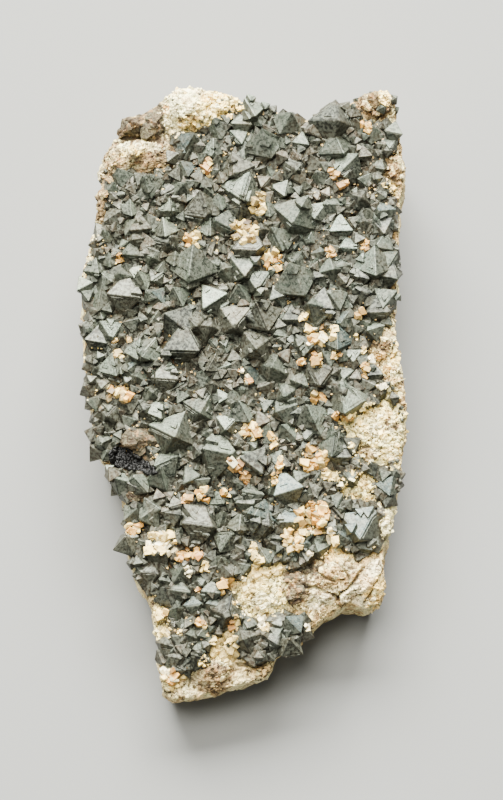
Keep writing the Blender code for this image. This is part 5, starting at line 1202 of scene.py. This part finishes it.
def small_crystals(placed):
    """Crystals of the floor and smaller ones grown into each other between the large ones."""
    chance = random.Random(SEEDS["small"])
    floor = floor_crystals(tries=9000, seed=SEEDS["floor"])
    between = packing_crystals(placed, tries=9000, seed=SEEDS["between"],
                               widest=3.6, narrowest=1.3, tops=(2.0, 3.1))
    little = packing_crystals(placed + between, tries=6000, seed=SEEDS["little"],
                              widest=1.7, narrowest=0.9, tops=(1.9, 2.6))
    build = toned_build()
    # Each group with the range of its lightness and its share of stepped faces. The ranges keep these
    # crystals darker than the listed ones, and the floor crystals, lowest in the gaps, darkest: painted
    # shade.
    groups = ((floor, 0.15, 0.55, 0.1), (between, 0.35, 0.9, 0.25), (little, 0.3, 0.85, 0.0))
    for added, low, high, steps in groups:
        batch = toned_build()
        for centre, corners, edge in added:
            grey = FACE_GREYS["plain"] if chance.random() < 0.6 else FACE_GREYS["dull"]
            stain = chance.choice((0.0, 0.0, 0.25, 0.5, 0.75))
            clean = Vector(scaled(grey, chance.uniform(low, high)))
            tone = tuple(clean.lerp(Vector(scaled(DUST_AND_LOW_SHADE, 1.5)), stain))
            join(batch, crystal(corners, edge, facet_tones(tone, chance), chance, steps, 0.2))
        join(build, batch)
    return build


def crust_bed():
    """The uneven ground of tiny crystals and rock between the crystals, as a thin closed sheet."""
    build = bmesh.new()
    tone = build.verts.layers.float_color.new("tone")
    bmesh.ops.create_grid(build, x_segments=112, y_segments=196, size=1.0,
                          matrix=Matrix.Diagonal((34.0, 60.0, 1.0, 1.0)))
    away = []
    for vertex in build.verts:
        x, y = vertex.co.x, vertex.co.y
        wob = noise.noise_vector(Vector((x * 0.4, y * 0.4, 3.0))) * 0.7
        if not any(inside(x + wob.x, y + wob.y, outline) for outline in BEDS):
            away.append(vertex)
    bmesh.ops.delete(build, geom=away, context="VERTS")
    for vertex in build.verts:
        x, y = vertex.co.x, vertex.co.y
        at = Vector((x * 1.1, y * 1.1, 0.0))
        near = noise.voronoi(at)[0]
        swell = 0.35 * noise.noise(Vector((x * 0.35, y * 0.35, 7.0)))
        rise = 0.55 + 0.9 * min(near[1] - near[0], 0.5) + swell
        if vertex.is_boundary:
            rise = -0.6
        vertex.co = seen_point(x, y, rise)
        mixed = noise.noise(Vector((x * 0.5, y * 0.5, 11.0)))
        kind = "black" if inside(x, y, BEAD_BED) else "ground"
        colour = scaled(ROCK_SHADES[kind][0], 0.8 + 0.5 * mixed)
        vertex[tone] = (*colour, ROCK_SHADES[kind][1])
    bmesh.ops.solidify(build, geom=build.faces[:], thickness=0.7)
    bmesh.ops.recalc_face_normals(build, faces=build.faces[:])
    return build


def line_share(x, y, points, width):
    """How close a place of the front view is to a line: 1 on it, 0 from its edge outwards."""
    best = 9.0
    for start, end in zip(points, points[1:]):
        best = min(best, off_segment(x, y, *start, *end))
    return clamp((1.25 * width - best) / (0.5 * width))


def zone_shade(x, y, under_crust, flank, facing):
    """Colour of the rock at a place of the front view, with its share of dark speckle."""
    wob = noise.noise_vector(Vector((x * 0.35, y * 0.35, 0.0)))
    wob += noise.noise_vector(Vector((x, y, 4.0))) * 0.5
    bent_x, bent_y = x + wob.x * 0.9, y + wob.y * 0.9
    if flank:
        mixed = 0.5 + 0.5 * noise.noise(Vector((x * 0.12, y * 0.12, 5.0)))
        colour = Vector(ROCK_SHADES["wall"][0]).lerp(Vector(ROCK_SHADES["tan"][0]), mixed)
        speckle = 0.45
    else:
        kind = "ground" if under_crust else "edge"
        colour, speckle = Vector(ROCK_SHADES[kind][0]), ROCK_SHADES[kind][1]
    for cx, cy, half_x, half_y, kind in ROCK_ZONES:
        reach = math.hypot((bent_x - cx) / half_x, (bent_y - cy) / half_y)
        share = clamp((1.12 - reach) / 0.2) * facing
        colour = colour.lerp(Vector(ROCK_SHADES[kind][0]), share)
        speckle += (ROCK_SHADES[kind][1] - speckle) * share
    if not flank:
        for points, width, rise, kind in ROCK_LINES:
            share = line_share(x + wob.x * 0.3, y + wob.y * 0.3, points, width)
            if share > 0.0:
                colour = colour.lerp(Vector(ROCK_SHADES[kind][0]), 0.85 * share)
                speckle += (ROCK_SHADES[kind][1] - speckle) * share
    return (*colour, speckle)


def fracture_steps(x, y):
    """Low splintery steps that run up to the right, as broken rock has."""
    along, across = 0.6 * x + 0.8 * y, 0.8 * x - 0.6 * y
    bent = across + 0.9 * noise.noise(Vector((along * 0.25, across * 0.25, 2.0)))
    wave = 6.0 * noise.noise(Vector((along * 0.13, bent * 0.42, 9.0)))
    step = math.floor(wave)
    return 0.2 * (step + clamp((wave - step - 0.7) / 0.3))


def rock_relief(place, x, y):
    """How far the bare top of the rock stands out: rounded blobs, grains, steps, ridges and cracks."""
    blobs = noise.voronoi(place * 0.6)[0][0]
    near = noise.voronoi(place * 1.7)[0]
    push = 0.45 * (0.5 - blobs) + 0.28 * min(near[1] - near[0], 0.6)
    push += 0.34 * noise.fractal(place * 0.45, 0.9, 2.2, 4) + 0.15 * noise.noise(place * 3.4)
    broken = clamp((1.2 - math.hypot((x - 19.6) / 8.0, (y + 38.0) / 7.0)) / 0.4)
    broken = max(broken, clamp((1.2 - math.hypot((x + 17.6) / 6.0, (y - 46.6) / 4.0)) / 0.4))
    push += broken * (fracture_steps(x, y) - 0.75 * push)
    for points, width, rise, kind in ROCK_LINES:
        push += rise * line_share(x, y, points, width)
    return push


def hollow_share(place):
    """Where the bare rock has small dark holes."""
    share = clamp((noise.noise(place * 1.3 + Vector((9.0, 0.0, 0.0))) - 0.17) / 0.1)
    share *= clamp(0.65 + 2.0 * noise.noise(place * 0.28))
    speck = clamp((noise.noise(place * 2.7 + Vector((0.0, 5.0, 0.0))) - 0.27) / 0.08)
    return max(share, 0.85 * speck)


# The front edge at the right lies further back than in the solid: below this height of the front
# view, fading in over this length, set back by this much around this place across.
FRONT_EDGE = {"from": -39.5, "fade": 3.0, "back": 1.9, "middle": 21.0, "reach": 4.6}


def rock_body():
    """The rock itself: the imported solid, evenly remeshed, with finer faces where its top is bare."""
    build = bmesh.new()
    build.from_mesh(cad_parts["matrix"].data)
    bmesh.ops.remove_doubles(build, verts=build.verts[:], dist=0.0000005)
    mesh = bpy.data.meshes.new("rock_source")
    build.to_mesh(mesh)
    build.free()
    source = bpy.data.objects.new("rock_source", mesh)
    bpy.context.scene.collection.objects.link(source)
    even = source.modifiers.new("Even", "REMESH")
    even.mode = "VOXEL"
    even.voxel_size = ROCK_VOXEL
    graph = bpy.context.evaluated_depsgraph_get()
    build = bmesh.new()
    build.from_mesh(source.evaluated_get(graph).to_mesh())
    bpy.data.objects.remove(source, do_unlink=True)
    bmesh.ops.scale(build, verts=build.verts[:], vec=(1.0 / MM, 1.0 / MM, 1.0 / MM))
    bmesh.ops.translate(build, verts=build.verts[:], vec=-FRAME_SHIFT)
    build.normal_update()
    bare = []
    for face in build.faces:
        middle = face.calc_center_median()
        if face.normal.z > 0.35 and middle.z > top_height(middle.y) - 4.0:
            x, y = middle.x, seen_height(middle)
            if not on_crust(x, y):
                bare.append(face)
    bare_faces = set(bare)
    sides = [side for side in build.edges if any(face in bare_faces for face in side.link_faces)]
    bmesh.ops.subdivide_edges(build, edges=sides, cuts=2, use_grid_fill=True)
    bmesh.ops.triangulate(build, faces=[face for face in build.faces if len(face.verts) > 4])
    build.normal_update()
    tone = build.verts.layers.float_color.new("tone")
    moves = []
    for vertex in build.verts:
        place, normal = vertex.co, vertex.normal
        x, y = place.x, seen_height(place)
        top = place.z > top_height(place.y) - 1.0 or normal.z > 0.55
        covered = top and on_crust(x, y)
        facing = 1.0 if top else clamp(normal.dot(SIGHT) / 0.2)
        colour = Vector(zone_shade(x, y, covered, not top, facing))
        if top:
            hollow = hollow_share(place) * min(colour.w * 1.4, 1.0)
            push = rock_relief(place, x, y) - 0.4 * hollow
            colour = colour.lerp(Vector((*ROCK_SHADES["hollow"][0], colour.w)), 0.85 * hollow)
        else:
            near = noise.voronoi(place * 0.85)[0]
            swell = 0.35 * noise.fractal(place * 0.4, 0.9, 2.2, 4)
            push = 0.30 * min(near[1] - near[0], 0.55) - 0.12 + swell
            where = noise.voronoi(place * 0.2)[1]
            lean = noise.noise_vector(where[0] * 5.3)
            push += 1.3 * (place * 0.2 - where[0]).dot(lean) + 0.35 * noise.noise(place * 0.22)
        moves.append((push, colour))
    for vertex in build.verts:
        at_edge = clamp((FRONT_EDGE["from"] - seen_height(vertex.co)) / FRONT_EDGE["fade"])
        off_middle = (vertex.co.x - FRONT_EDGE["middle"]) / FRONT_EDGE["reach"]
        vertex.co.y += FRONT_EDGE["back"] * at_edge * math.exp(-off_middle ** 2)
    for vertex, (push, colour) in zip(build.verts, moves):
        if vertex.co.z < 0.32:
            vertex.co.z = 0.0
        elif vertex.co.z > 0.5:
            vertex.co = vertex.co + vertex.normal * push
            vertex.co.z = max(vertex.co.z, 0.0)
        vertex[tone] = colour
    return build


def rock_lump(size, chance):
    """An angular broken lump with a grainy surface."""
    build = bmesh.new()
    build.verts.layers.float_color.new("tone")
    made = []
    for number in range(10):
        arm = Vector([chance.gauss(0.0, 1.0) for axis in range(3)]).normalized()
        made.append(build.verts.new(Vector((arm.x, arm.y * 0.85, arm.z * 0.6)) * size))
    bmesh.ops.convex_hull(build, input=made)
    bmesh.ops.delete(build, geom=[v for v in build.verts if not v.link_faces], context="VERTS")
    bmesh.ops.dissolve_limit(build, angle_limit=math.radians(20.0),
                             verts=build.verts[:], edges=build.edges[:])
    soften(build, size * 0.06)
    bmesh.ops.triangulate(build, faces=build.faces[:])
    bmesh.ops.subdivide_edges(build, edges=build.edges[:], cuts=2, use_grid_fill=True)
    shift = Vector((chance.uniform(0.0, 50.0), 0.0, 0.0))
    for vertex in build.verts:
        rough = noise.fractal(vertex.co * 1.1 + shift, 0.9, 2.2, 3)
        near = noise.voronoi(vertex.co * 1.6 + shift)[0]
        vertex.co = vertex.co * (1.0 + 0.08 * rough) + vertex.normal * 0.1 * min(near[1] - near[0], 0.5)
    return build


def rock_lumps(ground):
    """The lumps that stand out of the bare rock, each sunk in it by half."""
    chance = random.Random(SEEDS["lumps"])
    build = bmesh.new()
    build.verts.layers.float_color.new("tone")
    for x, y, size, kind in ROCK_LUMPS:
        hit = met_from_view(ground, x, y)
        lump = rock_lump(size, chance)
        if hit is None:
            lump.free()
            continue
        colour = scaled(ROCK_SHADES[kind][0], chance.uniform(0.88, 1.06))
        paint(lump, colour, ROCK_SHADES[kind][1])
        bmesh.ops.translate(lump, verts=lump.verts[:], vec=hit - SIGHT * size * 0.12)
        join(build, lump)
    return build


def grain(size, flat, chance):
    """One little broken grain: a skewed block or a splinter, its edges softened if it is not tiny."""
    build = toned_build()
    angle = chance.uniform(0.0, 6.3)
    axis = Vector((chance.uniform(-0.6, 0.6), chance.uniform(-0.6, 0.6), 1.0))
    turn = Matrix.Rotation(angle, 3, axis)
    made = []
    if chance.random() < 0.55:
        for number in range(8):
            halves = ((0.75, 1), (0.6, 2), (0.6, 4))
            arm = Vector([half if number & bit else -half for half, bit in halves])
            arm += Vector([chance.uniform(-0.22, 0.22) for axis in range(3)])
            made.append(build.verts.new(turn @ Vector((arm.x, arm.y, arm.z * flat)) * size))
    else:
        for number in range(chance.choice((7, 8, 9))):
            arm = Vector([chance.gauss(0.0, 1.0) for axis in range(3)]).normalized()
            arm = Vector((arm.x, arm.y * chance.uniform(0.75, 1.0), arm.z * flat))
            made.append(build.verts.new(arm * size))
    bmesh.ops.convex_hull(build, input=made)
    bmesh.ops.delete(build, geom=[v for v in build.verts if not v.link_faces], context="VERTS")
    if size > 0.42:
        bmesh.ops.dissolve_limit(build, angle_limit=math.radians(16.0),
                                 verts=build.verts[:], edges=build.edges[:])
        soften(build, size * 0.06)
    return build


def paint(build, colour, wear):
    layer = build.verts.layers.float_color["tone"]
    for vertex in build.verts:
        vertex[layer] = (*colour, wear)


def paint_stained_and_shaded(build, size, colour, chance):
    """The grain's own shade above, cream on its highest parts, stained brown low down, which also
    stands as painted shade under the grain.
    """
    layer = build.verts.layers.float_color["tone"]
    light = chance.choice((0.55, 0.75, 0.9, 1.0, 1.04)) * chance.uniform(0.9, 1.05)
    cream = chance.uniform(0.0, 0.6)
    stain = Vector(GRAIN_SHADES["rust"]).lerp(Vector(GRAIN_SHADES["brown"]), chance.random())
    for vertex in build.verts:
        high = clamp(0.5 + 0.6 * vertex.co.dot(SIGHT) / size)
        own = Vector(colour).lerp(Vector(GRAIN_SHADES["cream"]), cream * high)
        # Stain and painted shade: the lower part is darkened towards rust and brown.
        own = own.lerp(stain, 0.85 * (1.0 - high) ** 1.2)
        vertex[layer] = (*(own * light), 0.0)


def scatter_grains(build, ground):
    """Grains packed in the listed places, resting on whatever the sight line meets there."""
    chance = random.Random(SEEDS["grains"])
    for x0, x1, y0, y1, names in GRAIN_ZONES:
        shades = names.split()
        width, length = x1 - x0, y1 - y0
        size = min(max(0.42 * min(width, length), 0.5), 0.95)
        count = max(3, int(1.5 * width * length / (size * size)))
        for number in range(count):
            x = chance.uniform(x0 + 0.2 * size, x1 - 0.2 * size)
            y = chance.uniform(y0 + 0.2 * size, y1 - 0.2 * size)
            hit = met_from_view(ground, x, y)
            if hit is None or hit.z - top_height(hit.y) > 4.2:
                continue
            own = size * chance.choice((0.5, 0.7, 0.9, 1.1, 1.3))
            piece = grain(own, chance.uniform(0.6, 1.0), chance)
            paint_stained_and_shaded(piece, own, GRAIN_SHADES[chance.choice(shades)], chance)
            bmesh.ops.translate(piece, verts=piece.verts[:], vec=hit + SIGHT * own * 0.1)
            join(build, piece)


def scatter_crumbs(build, dark, ground):
    """Grains and a few tiny dark crystals bedded in the bare rock, in loose groups."""
    chance = random.Random(SEEDS["crumbs"])
    for cx, cy, half_x, half_y, kind in ROCK_ZONES:
        for number in range(int(half_x * half_y * CRUMB_COUNT.get(kind, 3.0))):
            angle = chance.uniform(0.0, 2.0 * math.pi)
            reach = math.sqrt(chance.random())
            x, y = cx + half_x * reach * math.cos(angle), cy + half_y * reach * math.sin(angle)
            own = chance.choice((0.18, 0.22, 0.28, 0.36, 0.5, 0.75))
            if kind not in ("cream", "granular", "white", "yellow"):
                own = min(own, 0.36)
            share = chance.uniform(0.1, 0.7)
            light = chance.uniform(0.8, 1.08)
            shade_name = chance.choice(("cream", "tan", "white", "yellow", "brown"))
            if shade_name == "brown":
                own, share = min(own, 0.3), 0.9
            if noise.noise(Vector((x * 0.45, y * 0.45, 21.0))) < -0.08:
                continue
            hit = met_from_view(ground, x, y)
            highest = 1.3 if on_crust(x, y) else 3.2
            if hit is None or hit.z - top_height(hit.y) > highest or hit.z < 4.0:
                continue
            piece = grain(own, chance.uniform(0.5, 0.9), chance)
            colour = Vector(ROCK_SHADES[kind][0]).lerp(Vector(GRAIN_SHADES[shade_name]), share)
            paint(piece, tuple(colour * light), 0.0)
            bmesh.ops.translate(piece, verts=piece.verts[:], vec=hit - SIGHT * own * 0.3)
            join(build, piece)
    for x, y, own, tone in SMALL_DARK_CRYSTALS:
        hit = met_from_view(ground, x, y)
        turn = Matrix.Rotation(chance.uniform(0.0, 6.0), 3, Vector((0.3, 0.5, 0.8)).normalized())
        if hit is None:
            continue
        arms = [turn @ Vector(arm) for arm in ((1, 0, 0), (0, 1, 0), (0, 0, 1))]
        corners = [hit + arm * own for arm in arms] + [hit - arm * own for arm in arms]
        tones = facet_tones(FACE_GREYS[tone], chance)
        join(dark, crystal(corners, own * 1.41, tones, chance, 0.3, 0.2))


def scatter_dust(build, ground):
    """Bits of rock that lie low between the crystals."""
    chance = random.Random(SEEDS["dust"])
    for number in range(4200):
        x, y = random_place(MAIN_BED, chance)
        own = chance.uniform(0.14, 0.36)
        name = chance.choice(("tan", "tan", "brown", "brown", "cream"))
        light = chance.uniform(0.5, 1.0)
        if not inside(x, y, MAIN_BED) or noise.noise(Vector((x * 0.2, y * 0.2, 31.0))) < -0.15:
            continue
        hit = met_from_view(ground, x, y)
        if hit is None or hit.z - top_height(hit.y) > 2.1:
            continue
        piece = grain(own, chance.uniform(0.5, 0.9), chance)
        paint(piece, scaled(GRAIN_SHADES[name], light), 0.0)
        bmesh.ops.translate(piece, verts=piece.verts[:], vec=hit)
        join(build, piece)


def scatter_beads(ground):
    """A mass of shiny black beads grown into each other."""
    chance = random.Random(SEEDS["beads"])
    build = bmesh.new()
    for number in range(1500):
        x, y = random_place(BEAD_BED, chance)
        size = chance.uniform(0.22, 0.55)
        if not inside(x, y, BEAD_BED):
            continue
        hit = met_from_view(ground, x, y)
        if hit is None:
            continue
        bead = bmesh.new()
        bmesh.ops.create_icosphere(bead, subdivisions=1, radius=size)
        bmesh.ops.translate(bead, verts=bead.verts[:], vec=hit - SIGHT * size * 0.1)
        join(build, bead)
    return build


# Rock, ground and crystals come first, because the loose bits are laid on them along the sight line.
rock_build = rock_body()
bed = crust_bed()
druse, placed = build_druse()
between = small_crystals(placed)
lay = bmesh.new()
for part in (rock_build, bed, druse["main_druse"], between):
    add_copy(lay, part)
lumps = rock_lumps(BVHTree.FromBMesh(lay))
add_copy(lay, lumps)
ground = BVHTree.FromBMesh(lay)
lay.free()

grains = toned_build()
scatter_grains(grains, ground)
crumbs = toned_build()
scatter_crumbs(crumbs, druse["lone_crystal"], ground)
dust = toned_build()
scatter_dust(dust, ground)
beads = scatter_beads(ground)

rock = make_piece("rock", rock_build, ROCK, smooth=True)
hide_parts("matrix")
crust = make_piece("crust_ground", bed, ROCK, smooth=True)
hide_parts("main_druse")
main = make_piece("druse_crystals", druse["main_druse"], MAGNETITE)
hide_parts("main_druse")
small = make_piece("druse_small_crystals", between, MAGNETITE)
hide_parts("main_druse")
rim_group = make_piece("rim_cluster_crystals", druse["rim_cluster"], MAGNETITE)
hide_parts("rim_cluster")
rim_one = make_piece("rim_crystal_octahedron", druse["rim_crystal"], MAGNETITE)
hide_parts("rim_crystal")
make_piece("small_loose_crystals", druse["lone_crystal"], MAGNETITE)
make_piece("rock_lumps", lumps, ROCK)
make_piece("black_beads", beads, BEADS, smooth=True)
make_piece("grains_in_gaps", grains, GRAIN)
make_piece("crumbs_on_rock", crumbs, GRAIN)
make_piece("bits_between_crystals", dust, GRAIN)


# Each lamp: name, place, width, depth, power, colour.
LAMPS = (
    ("back_light", (-0.1, 1.2, 1.0), 1.5, 0.9, 300.0, (1.0, 0.995, 0.95)),
    ("top_light", (-0.3, 0.2, 1.5), 0.9, 0.9, 53.0, (1.0, 0.98, 0.92)),
)
ROOM_COLOUR = (0.92, 0.93, 0.9, 1.0)
ROOM_LIGHT = 0.42
# The camera looks from far off at the middle of the front view, half of which is this high.
CAMERA_DISTANCE = 900.0
CAMERA_AIM = Vector((1.9, -2.0, 21.7)) + FRAME_SHIFT
HALF_VIEW = 80.0


def studio():
    """Pale floor, soft light from behind and above, and the camera at the photograph's angle."""
    build = bmesh.new()
    bmesh.ops.create_grid(build, x_segments=1, y_segments=1, size=2.5)
    mesh = bpy.data.meshes.new("floor")
    build.to_mesh(mesh)
    build.free()
    floor = bpy.data.objects.new("floor", mesh)
    floor.location.z = -0.0002
    bpy.context.scene.collection.objects.link(floor)
    finish = Surface("pale_floor")
    finish.shader.inputs["Base Color"].default_value = (*shade(112, 113, 110), 1.0)
    finish.shader.inputs["Roughness"].default_value = 0.8
    mesh.materials.append(finish.material)
    for name, place, wide, deep, power, colour in LAMPS:
        lamp = bpy.data.lights.new(name, "AREA")
        lamp.shape = "RECTANGLE"
        lamp.size = wide
        lamp.size_y = deep
        lamp.energy = power
        lamp.color = colour
        thing = bpy.data.objects.new(name, lamp)
        thing.location = place
        thing.rotation_euler = (-Vector(place)).to_track_quat("-Z", "Y").to_euler()
        thing.visible_camera = False
        bpy.context.scene.collection.objects.link(thing)
    world = bpy.data.worlds.new("room")
    world.use_nodes = True
    world.node_tree.nodes["Background"].inputs["Color"].default_value = ROOM_COLOUR
    world.node_tree.nodes["Background"].inputs["Strength"].default_value = ROOM_LIGHT
    bpy.context.scene.world = world
    lens = bpy.data.cameras.new("camera")
    lens.sensor_width = 36.0
    lens.lens = 0.5 * lens.sensor_width * CAMERA_DISTANCE / HALF_VIEW
    lens.clip_start = 0.05
    lens.clip_end = 10.0
    camera = bpy.data.objects.new("camera", lens)
    camera.location = (CAMERA_AIM + SIGHT * CAMERA_DISTANCE) * MM
    camera.rotation_euler = (-SIGHT).to_track_quat("-Z", "Y").to_euler()
    bpy.context.scene.collection.objects.link(camera)
    bpy.context.scene.camera = camera


studio()
